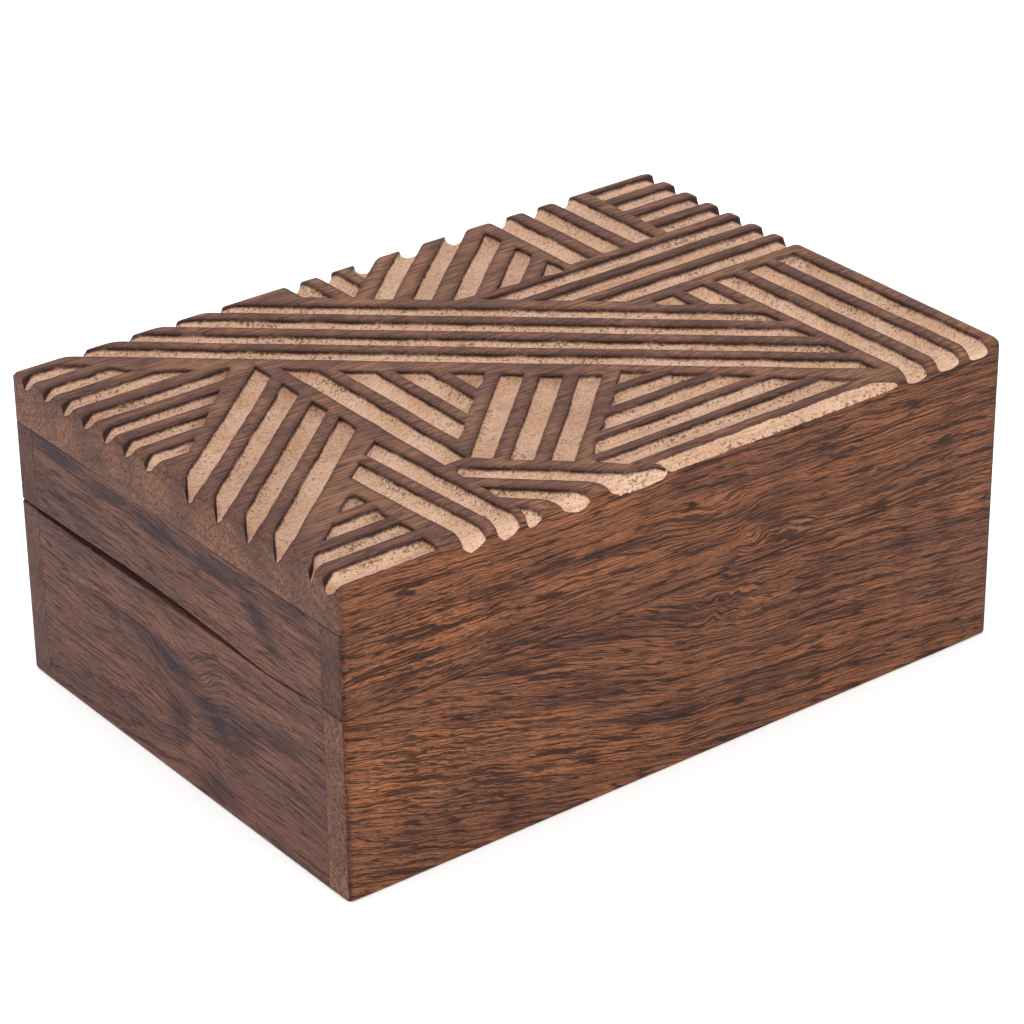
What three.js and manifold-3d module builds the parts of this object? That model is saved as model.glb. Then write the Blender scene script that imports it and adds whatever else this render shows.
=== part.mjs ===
// Carved hardwood jewelry box with a hinged lid.
// Sizes are in millimetres and +Z is up. The origin is the middle of the underside.
// The front faces -Y, the hinges are at the back, and the long side runs along X.
import * as THREE from 'three';
import { mergeVertices } from 'three/addons/utils/BufferGeometryUtils.js';
import Module from 'manifold-3d';

const wasm = await Module();
wasm.setup();

// Overall sizes
const boxLength = 203;
const boxDepth = 140;
const caseHeight = 49;
const lidFrameHeight = 22;
const topThickness = 14;

// Boards, bottom and liner
const longBoardThickness = 8;
const shortBoardThickness = 8;
const bottomThickness = 5;
const bottomLap = 4;
const bottomClearance = 0.2;
const linerThickness = 1.2;
const linerClearance = 0.6;
const cornerRadius = 1.2;
const sharpestCorner = 0.2;
const cornerSteps = 3;
const rearRimGap = 0.6;

// Dips of the two warped rims on the left side, as [share of the board from the front, drop]
const caseRimDips = [
  [0, 0.1], [0.09, 0.85], [0.19, 1.55], [0.42, 1.3], [0.62, 1.15], [0.82, 0.95], [1, 0.6],
];
const lidRimDips = [
  [0, 0], [0.09, 0.5], [0.19, 1.2], [0.34, 0], [0.5, -0.95], [0.66, -1.25], [0.84, -0.75], [1, -0.45],
];
const rimSteps = 18;

// Carved top
const topEdgeRadius = 3.5;
const topEdgeSteps = 4;
const grooveDepth = 3.3;
const grooveFacets = 6;
const overrun = 8;
const cutterSpare = 1;

// Hinges
const hingeFromEnd = 38;
const hingeLength = 25;
const leafThickness = 1.2;
const leafSpacing = 0.3;
const leafSetback = 1;
const leafClearance = 0.3;
const leafBedding = 0.05;
const barrelRadius = 1.8;
const barrelClearance = 0.2;
const pinRadius = 0.85;
const boreClearance = 0.08;
const knuckleGap = 0.25;
const knuckleCount = 3;
const openAngle = 100;
const stopReach = 1.5;
const stopThickness = 1;
const stopClearance = 0.03;
const roundSides = 24;

// Screws
const screwsPerLeaf = 2;
const screwFromLeafEnd = 5;
const screwLength = 9;
const screwTipLength = 2;
const screwTipRadius = 0.3;
const shankRadius = 1;
const headRadius = 2;
const headHeight = 1;
const screwClearance = 0.12;
const slotWidth = 0.5;
const slotDepth = 0.4;

// Places that follow from the sizes
const halfLength = boxLength / 2;
const halfDepth = boxDepth / 2;
const innerHalfLength = halfLength - shortBoardThickness;
const innerHalfDepth = halfDepth - longBoardThickness;
const lidFrameTop = caseHeight + lidFrameHeight;
const topSurface = lidFrameTop + topThickness;
const caseRearRim = caseHeight - rearRimGap / 2;
const lidRearRim = caseHeight + rearRimGap / 2;
const hingeOffset = halfLength - hingeFromEnd;
const boreRadius = pinRadius + boreClearance;
const hingeAxisY = halfDepth + barrelRadius + barrelClearance;
const leafFront = innerHalfDepth + leafSetback;
const leafOuterFace = leafSpacing / 2 + leafThickness;
const leafMiddle = (leafFront + halfDepth) / 2;
const screwSpacing = (hingeLength - 2 * screwFromLeafEnd) / Math.max(1, screwsPerLeaf - 1);

// The carving: zones of parallel grooves, drawn on a top of the length and depth given here and
// stretched with the real one. Angles are degrees from +X, `first` is how far the middle of the
// first groove lies to the left of the origin seen along the groove, and a zone's grooves end on
// its outline. An outline point beyond the block lets its grooves run out over the edge.
const drawnTop = { length: 203, depth: 140 };
const right = 110;
const left = -right;
const rear = 78;
const front = -rear;
const carvedZones = [
  {
    name: 'left upper', angle: 0, first: 7.2, pitch: 9.2, count: 7, width: 5.7,
    outline: [
      [left, 1], [-95.5, 1], [-58.2, 36.9], [-66, 41], [-77.8, 50.5], [-85.5, 60.5], [-94.5, 68], [left, 68],
    ],
  },
  {
    name: 'left rising', angle: 41, first: 29.9, pitch: 9.15, count: 4, width: 5.5,
    outline: [[left, front], [-53.3, front], [-53.3, rear], [left, rear]],
  },
  {
    name: 'near left corner', angle: 0, first: -66.5, pitch: 8.75, count: 4, width: 5.6,
    outline: [[left, -71], [-73.9, -71], [-73.9, -36], [left, -65.9]],
  },
  {
    name: 'near left uprights', angle: 90, first: 56.8, pitch: 10.1, count: 2, width: 6.8,
    outline: [[-76, front], [-51, front], [-51, -15.5], [-76, -35]],
  },
  {
    name: 'middle uprights', angle: 90, first: 14.9, pitch: 10.2, count: 4, width: 6.9,
    outline: [[-50, -39.3], [-41.5, -39.3], [-41.5, -33], [-11.2, -4.8], [-50, 28.9]],
  },
  {
    name: 'middle rising', angle: 43.25, first: -21.6, pitch: 9.5, count: 3, width: 5.8,
    outline: [[-46, -36], [-22.5, -58.5], [15, -28.5], [-13, -3.8]],
  },
  {
    name: 'front triangle', angle: 0, first: -71, pitch: 8.75, count: 6, width: 5.6,
    outline: [
      [-4, front], [70, front], [66.5, -74.5], [15.5, -25.3], [-19.8, -57], [-20.6, -60.2], [-7, -74],
    ],
  },
  {
    name: 'front falling', angle: -43, first: -84.4, pitch: 9.75, count: 3, width: 5.9,
    outline: [[-49.2, front], [-5, front], [-42, -41.3], [-47.2, -41.3], [-49.2, -43.5]],
  },
  {
    name: 'main band', angle: -41, first: -2.8, pitch: 8.95, count: 4, width: 5.7,
    outline: [[left, front], [65.6, front], [65.6, rear], [left, rear]],
  },
  {
    name: 'rear uprights', angle: 90, first: 8, pitch: 9.75, count: 2, width: 6.3,
    outline: [[-11.2, 50.8], [-4.6, 56], [-4.6, rear], [-22, rear], [-22, 61.2]],
  },
  {
    name: 'rear rising', angle: 41.5, first: -1.8, pitch: 9.97, count: 6, width: 5.8,
    outline: [
      [-8, 47.8], [8.5, 33.6], [42.7, 30.4], [41, 62], [41, rear], [-1.6, rear], [-1.6, 60], [-8.3, 50],
    ],
  },
  {
    name: 'right rear uprights', angle: 90, first: -70.8, pitch: 10.8, count: 3, width: 7,
    outline: [[43, 32.7], [76, 32.7], [76, rear], [43, rear]],
  },
  {
    name: 'right rear corner', angle: 0, first: 35.8, pitch: 9.17, count: 4, width: 6.2,
    outline: [[78.4, 31], [right, 31], [right, rear], [78.4, rear]],
  },
  {
    name: 'right band', angle: 0, first: 8.6, pitch: 9.17, count: 3, width: 6.2,
    outline: [[43.5, 4], [right, 4], [right, 30.1], [14, 30.1]],
  },
  {
    name: 'near right uprights', angle: 90, first: -92.6, pitch: 10.45, count: 5, width: 7,
    outline: [[66.8, front], [97, front], [97, 1.8], [43, 1.8], [64.9, -14.9], [66.8, -14.9]],
  },
];

// Finishes
const longBoardWood = new THREE.MeshStandardMaterial({ color: 0x7a4a2e, roughness: 0.55, metalness: 0 });
const shortBoardWood = new THREE.MeshStandardMaterial({ color: 0x65483c, roughness: 0.6, metalness: 0 });
const carvedWood = new THREE.MeshStandardMaterial({ color: 0x8a6247, roughness: 0.7, metalness: 0 });
const bottomWood = new THREE.MeshStandardMaterial({ color: 0x6b4329, roughness: 0.7, metalness: 0 });
const felt = new THREE.MeshStandardMaterial({ color: 0x2a1c1a, roughness: 0.95, metalness: 0 });
const brass = new THREE.MeshStandardMaterial({ color: 0xb08a46, roughness: 0.35, metalness: 1 });

// Keeps positions only, shares the corners and drops faces that have no area
function closed(geometry) {
  const bare = geometry.clone();
  bare.deleteAttribute('normal');
  bare.deleteAttribute('uv');
  const merged = mergeVertices(bare);
  const corners = Array.from(merged.index.array);
  const faces = [];
  for (let i = 0; i < corners.length; i += 3) {
    const [a, b, c] = corners.slice(i, i + 3);
    if (a !== b && b !== c && c !== a) faces.push(a, b, c);
  }
  merged.setIndex(faces);
  return merged;
}

function toSolid(geometry) {
  const shell = closed(geometry);
  return new wasm.Manifold(new wasm.Mesh({
    numProp: 3,
    vertProperties: new Float32Array(shell.attributes.position.array),
    triVerts: new Uint32Array(shell.index.array),
  }));
}

function toGeometry(solid) {
  const mesh = solid.getMesh();
  const geometry = new THREE.BufferGeometry();
  geometry.setAttribute('position', new THREE.BufferAttribute(new Float32Array(mesh.vertProperties), 3));
  geometry.setIndex(Array.from(mesh.triVerts));
  return geometry;
}

function join(geometries) {
  return toGeometry(geometries.map(toSolid).reduce((sum, solid) => sum.add(solid)));
}

function cut(geometry, tools) {
  return toGeometry(tools.map(toSolid).reduce((rest, tool) => rest.subtract(tool), toSolid(geometry)));
}

// A block between two corners
function block([x0, y0, z0], [x1, y1, z1]) {
  const geometry = new THREE.BoxGeometry(x1 - x0, y1 - y0, z1 - z0);
  return geometry.translate((x0 + x1) / 2, (y0 + y1) / 2, (z0 + z1) / 2);
}

// A prism on a plan outline, from one height to another
function prism(outline, low, high) {
  const shape = new THREE.Shape(outline.map(([x, y]) => new THREE.Vector2(x, y)));
  return new THREE.ExtrudeGeometry(shape, { depth: high - low, bevelEnabled: false }).translate(0, 0, low);
}

// A round bar along X
function bar(radius, from, to) {
  const geometry = new THREE.CylinderGeometry(radius, radius, to - from, roundSides);
  return geometry.rotateZ(Math.PI / 2).translate((from + to) / 2, 0, 0);
}

// A corner arc of the plan, turning to the left from one heading to the next
function cornerArc(x, y, radius, startAngle) {
  const points = [];
  for (let i = 0; i <= cornerSteps; i += 1) {
    const angle = startAngle + (Math.PI / 2) * (i / cornerSteps);
    points.push([x + radius * Math.cos(angle), y + radius * Math.sin(angle)]);
  }
  return points;
}

// The plan of a rectangle with all four corners rounded, shrunk by an inset
function roundedPlan(inset) {
  const x = halfLength - cornerRadius;
  const y = halfDepth - cornerRadius;
  const radius = Math.max(cornerRadius - inset, sharpestCorner);
  const shift = inset - (cornerRadius - radius);
  return [
    ...cornerArc(x - shift, y - shift, radius, 0),
    ...cornerArc(-x + shift, y - shift, radius, Math.PI / 2),
    ...cornerArc(-x + shift, -y + shift, radius, Math.PI),
    ...cornerArc(x - shift, -y + shift, radius, 1.5 * Math.PI),
  ];
}

// A solid skinned over level rings that all have the same number of points
function ringSolid(rings) {
  const count = rings[0].length;
  const points = rings.flat();
  const faces = [];
  for (let r = 0; r + 1 < rings.length; r += 1) {
    for (let i = 0; i < count; i += 1) {
      const a = r * count + i;
      const b = r * count + ((i + 1) % count);
      faces.push(a, b, b + count, a, b + count, a + count);
    }
  }
  const last = (rings.length - 1) * count;
  for (let i = 1; i + 1 < count; i += 1) {
    faces.push(0, i + 1, i, last, last + i, last + i + 1);
  }
  const geometry = new THREE.BufferGeometry();
  geometry.setAttribute('position', new THREE.BufferAttribute(new Float32Array(points.flat()), 3));
  geometry.setIndex(faces);
  return geometry;
}

// Front and rear boards: full length, with rounded outer corners
function longBoard(side, low, high) {
  const arcRear = [
    ...cornerArc(halfLength - cornerRadius, halfDepth - cornerRadius, cornerRadius, 0),
    ...cornerArc(-halfLength + cornerRadius, halfDepth - cornerRadius, cornerRadius, Math.PI / 2),
    [-halfLength, innerHalfDepth],
    [halfLength, innerHalfDepth],
  ];
  const outline = side > 0 ? arcRear : arcRear.map(([x, y]) => [-x, -y]);
  return prism(outline, low, high);
}

// The recess that the bottom panel lies in, cut from the boards
function bottomRecess() {
  const x = innerHalfLength + bottomLap;
  const y = innerHalfDepth + bottomLap;
  return block([-x, -y, -cutterSpare], [x, y, bottomThickness]);
}

// A rim line along a short board, from front to rear, as [y, z]
function rimLine(level, dips) {
  const curve = new THREE.SplineCurve(dips.map(([share, drop]) => new THREE.Vector2(
    -innerHalfDepth + share * 2 * innerHalfDepth,
    level - drop,
  )));
  return curve.getPoints(rimSteps).map((p) => [p.x, p.y]);
}

// Short boards stand between the long ones. The outline is drawn in Y and Z and given a thickness in X
function shortBoard(side, lowLine, highLine) {
  const outline = [...lowLine, ...[...highLine].reverse()];
  const shape = new THREE.Shape(outline.map(([y, z]) => new THREE.Vector2(y, z)));
  const geometry = new THREE.ExtrudeGeometry(shape, { depth: shortBoardThickness, bevelEnabled: false });
  const axes = new THREE.Matrix4().makeBasis(
    new THREE.Vector3(0, 1, 0),
    new THREE.Vector3(0, 0, 1),
    new THREE.Vector3(1, 0, 0),
  );
  return geometry.applyMatrix4(axes).translate(side > 0 ? innerHalfLength : -halfLength, 0, 0);
}

function levelLine(z) {
  return [[-innerHalfDepth, z], [innerHalfDepth, z]];
}

// A zone as it lies on the real top: the drawn lines are stretched, the gouge's width is kept
function stretched(zone) {
  const sx = boxLength / drawnTop.length;
  const sy = boxDepth / drawnTop.depth;
  const turn = THREE.MathUtils.degToRad(zone.angle);
  const along = new THREE.Vector3(sx * Math.cos(turn), sy * Math.sin(turn), 0);
  const spread = (sx * sy) / along.length();
  return {
    along: along.normalize(),
    first: zone.first * spread,
    pitch: zone.pitch * spread,
    count: zone.count,
    width: zone.width,
    outline: zone.outline.map(([x, y]) => [x * sx, y * sy]),
  };
}

// One round-bottomed channel along a zone's direction
function channel(zone, index) {
  const half = zone.width / 2;
  const shape = new THREE.Shape();
  shape.moveTo(half, overrun);
  shape.lineTo(-half, overrun);
  for (let i = 0; i <= grooveFacets; i += 1) {
    const angle = Math.PI - (Math.PI * i) / grooveFacets;
    shape.lineTo(half * Math.cos(angle), -grooveDepth * Math.sin(angle));
  }
  const reach = halfLength + halfDepth + overrun;
  const geometry = new THREE.ExtrudeGeometry(shape, { depth: 2 * reach, bevelEnabled: false });
  const across = new THREE.Vector3(-zone.along.y, zone.along.x, 0);
  const up = new THREE.Vector3(0, 0, 1);
  const start = across.clone().multiplyScalar(zone.first + index * zone.pitch)
    .addScaledVector(zone.along, -reach)
    .addScaledVector(up, topSurface);
  const axes = new THREE.Matrix4().makeBasis(across, up, zone.along);
  return geometry.applyMatrix4(axes).translate(start.x, start.y, start.z);
}

// The block that the carving is cut into, with its upper edges rounded over
function topBlock() {
  const rings = [roundedPlan(0).map(([x, y]) => [x, y, lidFrameTop])];
  for (let i = 0; i <= topEdgeSteps; i += 1) {
    const angle = (Math.PI / 2) * (i / topEdgeSteps);
    const inset = topEdgeRadius * (1 - Math.cos(angle));
    const z = topSurface - topEdgeRadius + topEdgeRadius * Math.sin(angle);
    rings.push(roundedPlan(inset).map(([x, y]) => [x, y, z]));
  }
  return ringSolid(rings);
}

function carvedTop() {
  let top = toSolid(topBlock());
  for (const zone of carvedZones.map(stretched)) {
    const low = topSurface - grooveDepth - cutterSpare;
    const high = topSurface + overrun + cutterSpare;
    const area = toSolid(prism(zone.outline, low, high));
    for (let i = 0; i < zone.count; i += 1) {
      top = top.subtract(toSolid(channel(zone, i)).intersect(area));
    }
  }
  return toGeometry(top);
}

// Screw places along a leaf, measured from the middle of the hinge
function screwPlaces() {
  const places = [];
  for (let i = 0; i < screwsPerLeaf; i += 1) {
    places.push(screwsPerLeaf === 1 ? 0 : -hingeLength / 2 + screwFromLeafEnd + i * screwSpacing);
  }
  return places;
}

// A countersunk screw with its head up at the origin. `grow` gives the hole that it fits in
function screwBody(grow) {
  const profile = [
    [0, -screwLength - grow],
    [screwTipRadius + grow, -screwLength - grow],
    [shankRadius + grow, -screwLength + screwTipLength],
    [shankRadius + grow, -headHeight - grow],
    [headRadius + grow, -grow],
    [headRadius + grow, grow],
    [0, grow],
  ];
  const geometry = new THREE.LatheGeometry(profile.map(([r, y]) => new THREE.Vector2(r, y)), roundSides);
  return geometry.rotateX(Math.PI / 2);
}

function screw() {
  const reach = headRadius + cutterSpare;
  const slot = block([-reach, -slotWidth / 2, -slotDepth], [reach, slotWidth / 2, cutterSpare]);
  return cut(screwBody(0), [slot]);
}

// side is -1 for the leaf and screws in the case and +1 for those in the lid.
// A hinge is drawn about its pin: X along the pin, Y to the rear, Z up
function turnForSide(geometry, side) {
  return side < 0 ? geometry : geometry.rotateX(Math.PI);
}

function screwHoles(side, grow) {
  return screwPlaces().map((x) => turnForSide(screwBody(grow), side)
    .translate(x, leafMiddle - hingeAxisY, side * leafSpacing / 2));
}

// The knuckles that belong to one leaf, as spans along the pin
function knuckleSpans(side) {
  const step = hingeLength / knuckleCount;
  const spans = [];
  for (let i = 0; i < knuckleCount; i += 1) {
    const owner = i % 2 === 0 ? -1 : 1;
    const from = -hingeLength / 2 + i * step + (i === 0 ? 0 : knuckleGap / 2);
    const to = -hingeLength / 2 + (i + 1) * step - (i === knuckleCount - 1 ? 0 : knuckleGap / 2);
    if (owner === side) spans.push([from, to]);
  }
  return spans;
}

// The lip that stops the lid: two lips meet when the lid has turned through the opening angle.
// Its working face lies on a plane through the pin, at half that angle from the rear
function stopLip(side, span, inner) {
  const outer = barrelRadius + stopReach;
  const low = side < 0 ? -stopThickness : stopClearance;
  const high = side < 0 ? 0 : stopClearance + stopThickness;
  const lip = block([span[0], inner, low], [span[1], outer, high]);
  return lip.rotateX(side * THREE.MathUtils.degToRad(openAngle / 2));
}

// A leaf: its plate, its knuckles with their lips, and on the case side one lip across all knuckles
function hingeLeaf(side) {
  const inside = side * leafSpacing / 2;
  const outside = side * leafOuterFace;
  const low = Math.min(inside, outside);
  const high = Math.max(inside, outside);
  const plateRear = halfDepth - hingeAxisY;
  const end = hingeLength / 2;
  const pieces = [block([-end, leafFront - hingeAxisY, low], [end, plateRear, high])];
  for (const span of knuckleSpans(side)) {
    pieces.push(block([span[0], plateRear - leafThickness, low], [span[1], 0, high]));
    pieces.push(bar(barrelRadius, span[0], span[1]));
    pieces.push(stopLip(side, span, boreRadius));
  }
  if (side < 0) {
    pieces.push(stopLip(side, [-end, end], barrelRadius + leafClearance));
  }
  const bore = bar(boreRadius, -hingeLength, hingeLength);
  return cut(join(pieces), [bore, ...screwHoles(side, screwClearance)]);
}

function hingePin() {
  return bar(pinRadius, -hingeLength / 2, hingeLength / 2);
}

// The recess for one leaf and its screws in a rear board
function leafRecess(x, side) {
  const floor = caseHeight + side * (leafOuterFace + leafBedding);
  const open = caseHeight - side * leafThickness;
  const half = hingeLength / 2 + leafClearance;
  const bed = block(
    [x - half, leafFront - leafClearance, Math.min(floor, open)],
    [x + half, halfDepth + cutterSpare, Math.max(floor, open)],
  );
  const holes = screwHoles(side, screwClearance).map((hole) => hole.translate(x, hingeAxisY, caseHeight));
  return [bed, ...holes];
}

function rearRecesses(side) {
  return [-hingeOffset, hingeOffset].flatMap((x) => leafRecess(x, side));
}

function piece(group, name, geometry, material) {
  const mesh = new THREE.Mesh(closed(geometry), material);
  mesh.name = name;
  group.add(mesh);
  return mesh;
}

function buildCase() {
  const group = new THREE.Group();
  const recess = bottomRecess();
  piece(group, 'case_front_board', cut(longBoard(-1, 0, caseHeight), [recess]), longBoardWood);
  const rearBoard = cut(longBoard(1, 0, caseRearRim), [recess, ...rearRecesses(-1)]);
  piece(group, 'case_rear_board', rearBoard, longBoardWood);
  const leftBoard = shortBoard(-1, levelLine(0), rimLine(caseHeight, caseRimDips));
  piece(group, 'case_left_board', cut(leftBoard, [recess]), shortBoardWood);
  const rightBoard = shortBoard(1, levelLine(0), levelLine(caseHeight));
  piece(group, 'case_right_board', cut(rightBoard, [recess]), shortBoardWood);
  const panelX = innerHalfLength + bottomLap - bottomClearance;
  const panelY = innerHalfDepth + bottomLap - bottomClearance;
  const panel = block([-panelX, -panelY, 0], [panelX, panelY, bottomThickness]);
  piece(group, 'case_bottom_panel', panel, bottomWood);
  const linerX = innerHalfLength - linerClearance;
  const linerY = innerHalfDepth - linerClearance;
  const linerTop = bottomThickness + linerThickness;
  const liner = block([-linerX, -linerY, bottomThickness], [linerX, linerY, linerTop]);
  piece(group, 'case_felt_liner', liner, felt);
  return group;
}

function buildLid() {
  const group = new THREE.Group();
  piece(group, 'lid_front_board', longBoard(-1, caseHeight, lidFrameTop), longBoardWood);
  piece(group, 'lid_rear_board', cut(longBoard(1, lidRearRim, lidFrameTop), rearRecesses(1)), longBoardWood);
  const leftBoard = shortBoard(-1, rimLine(caseHeight, lidRimDips), levelLine(lidFrameTop));
  piece(group, 'lid_left_board', leftBoard, shortBoardWood);
  const rightBoard = shortBoard(1, levelLine(caseHeight), levelLine(lidFrameTop));
  piece(group, 'lid_right_board', rightBoard, shortBoardWood);
  piece(group, 'lid_carved_top', carvedTop(), carvedWood);
  return group;
}

function buildHinge(name, x) {
  const group = new THREE.Group();
  group.position.set(x, hingeAxisY, caseHeight);
  piece(group, `${name}_pin`, hingePin(), brass);
  for (const [place, side] of [['case', -1], ['lid', 1]]) {
    piece(group, `${name}_${place}_leaf`, hingeLeaf(side), brass);
    screwPlaces().forEach((along, i) => {
      const mesh = piece(group, `${name}_${place}_screw_${i + 1}`, turnForSide(screw(), side), brass);
      mesh.position.set(along, leafMiddle - hingeAxisY, side * leafSpacing / 2);
    });
  }
  return group;
}

const box = new THREE.Group();
box.add(buildCase(), buildLid());
box.add(buildHinge('left_hinge', -hingeOffset), buildHinge('right_hinge', hingeOffset));

export default box;
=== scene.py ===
"""Dresses the carved wooden jewelry box: worn boards, a gouge-carved lid top, brass hinges and a felt liner.

Lengths are in millimetres, except for the lamps and the floor's reach, which are in metres. The box stands
as its frame gives it: +X along the long front, the front facing -Y, +Z up.
"""

from __future__ import annotations

import logging
import math
from dataclasses import dataclass
from enum import Enum
from typing import Any

import bmesh
import bpy
import numpy as np
from mathutils import Matrix, Vector
from mathutils.geometry import delaunay_2d_cdt

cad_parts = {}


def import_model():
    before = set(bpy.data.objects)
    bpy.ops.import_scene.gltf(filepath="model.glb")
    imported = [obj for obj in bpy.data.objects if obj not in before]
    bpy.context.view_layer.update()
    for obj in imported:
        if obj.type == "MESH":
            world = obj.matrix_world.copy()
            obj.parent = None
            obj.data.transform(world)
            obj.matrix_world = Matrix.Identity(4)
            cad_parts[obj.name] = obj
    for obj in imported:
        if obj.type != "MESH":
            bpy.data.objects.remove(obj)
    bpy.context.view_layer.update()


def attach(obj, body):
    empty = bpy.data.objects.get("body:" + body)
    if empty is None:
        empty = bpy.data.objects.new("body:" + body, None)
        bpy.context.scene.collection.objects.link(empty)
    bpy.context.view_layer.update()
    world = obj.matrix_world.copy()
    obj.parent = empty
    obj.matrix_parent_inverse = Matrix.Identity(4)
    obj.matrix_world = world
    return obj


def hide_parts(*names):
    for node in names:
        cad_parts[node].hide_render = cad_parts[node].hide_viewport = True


MM = 0.001
BOX_LENGTH = 203.0
BOX_DEPTH = 140.0
CASE_HEIGHT = 49.0
LID_FRAME_TOP = 71.0
TOP_SURFACE = 85.0
CORNER_RADIUS = 1.2
BOTTOM_THICKNESS = 5.0
PHOTO_WIDTH = 1024
WEAR_SEED = 11
SHARP_ANGLE = 38.0
FLAT_ANGLE = 0.003
log = logging.getLogger("jewelry box")

Colour = tuple[float, float, float, float]
Point = tuple[float, float]


def display(red: float, green: float, blue: float) -> Colour:
    """Turn a colour as seen on a display, 0 to 255, into the linear colour that shaders take.

    Args:
        red: Red part.
        green: Green part.
        blue: Blue part.

    Returns:
        The linear colour with full opacity.
    """
    parts = []
    for part in (red, green, blue):
        share = part / 255.0
        parts.append(share / 12.92 if share <= 0.04045 else ((share + 0.055) / 1.055) ** 2.4)
    return (parts[0], parts[1], parts[2], 1.0)


class Value:
    """A number that a material's nodes work out, with the operators that shader maths needs."""

    def __init__(self, net: Net, socket: bpy.types.NodeSocket) -> None:
        """Wrap one output socket of the net's node tree."""
        self.net = net
        self.socket = socket

    def _math(self, operation: str, *numbers: Value | float) -> Value:
        """Add one Math node and return what it gives."""
        node = self.net.node("ShaderNodeMath", {"operation": operation}, dict(enumerate(numbers)))
        return Value(self.net, node.outputs[0])

    def __add__(self, other: Value | float) -> Value:
        """Sum."""
        return self._math("ADD", self, other)

    def __radd__(self, other: float) -> Value:
        """Sum with a plain number in front."""
        return self._math("ADD", other, self)

    def __sub__(self, other: Value | float) -> Value:
        """Difference."""
        return self._math("SUBTRACT", self, other)

    def __rsub__(self, other: float) -> Value:
        """Difference with a plain number in front."""
        return self._math("SUBTRACT", other, self)

    def __mul__(self, other: Value | float) -> Value:
        """Product."""
        return self._math("MULTIPLY", self, other)

    def __rmul__(self, other: float) -> Value:
        """Product with a plain number in front."""
        return self._math("MULTIPLY", other, self)

    def __truediv__(self, other: Value | float) -> Value:
        """Quotient."""
        return self._math("DIVIDE", self, other)

    def __abs__(self) -> Value:
        """Size without its sign."""
        return self._math("ABSOLUTE", self)

    def least(self, other: Value | float) -> Value:
        """Return the smaller of the two."""
        return self._math("MINIMUM", self, other)

    def most(self, other: Value | float) -> Value:
        """Return the larger of the two."""
        return self._math("MAXIMUM", self, other)

    def eased(self, low: float, high: float) -> Value:
        """Rise smoothly from 0 at low to 1 at high.

        Args:
            low: Where the rise starts; it may be larger than high for a fall.
            high: Where the rise ends.

        Returns:
            The eased share, held at 0 and 1 outside.
        """
        settings = {"interpolation_type": "SMOOTHSTEP", "clamp": True}
        ends = {"Value": self, "From Min": low, "From Max": high, "To Min": 0.0, "To Max": 1.0}
        if low > high:
            ends = {"Value": self, "From Min": high, "From Max": low, "To Min": 1.0, "To Max": 0.0}
        return Value(self.net, self.net.node("ShaderNodeMapRange", settings, ends).outputs[0])


def thin_line(value: Value, width: float) -> Value:
    """Return 1 along the lines where smooth noise passes its middle, fading out at the given width."""
    return abs(value - 0.5).eased(width, width * 0.45)


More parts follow.
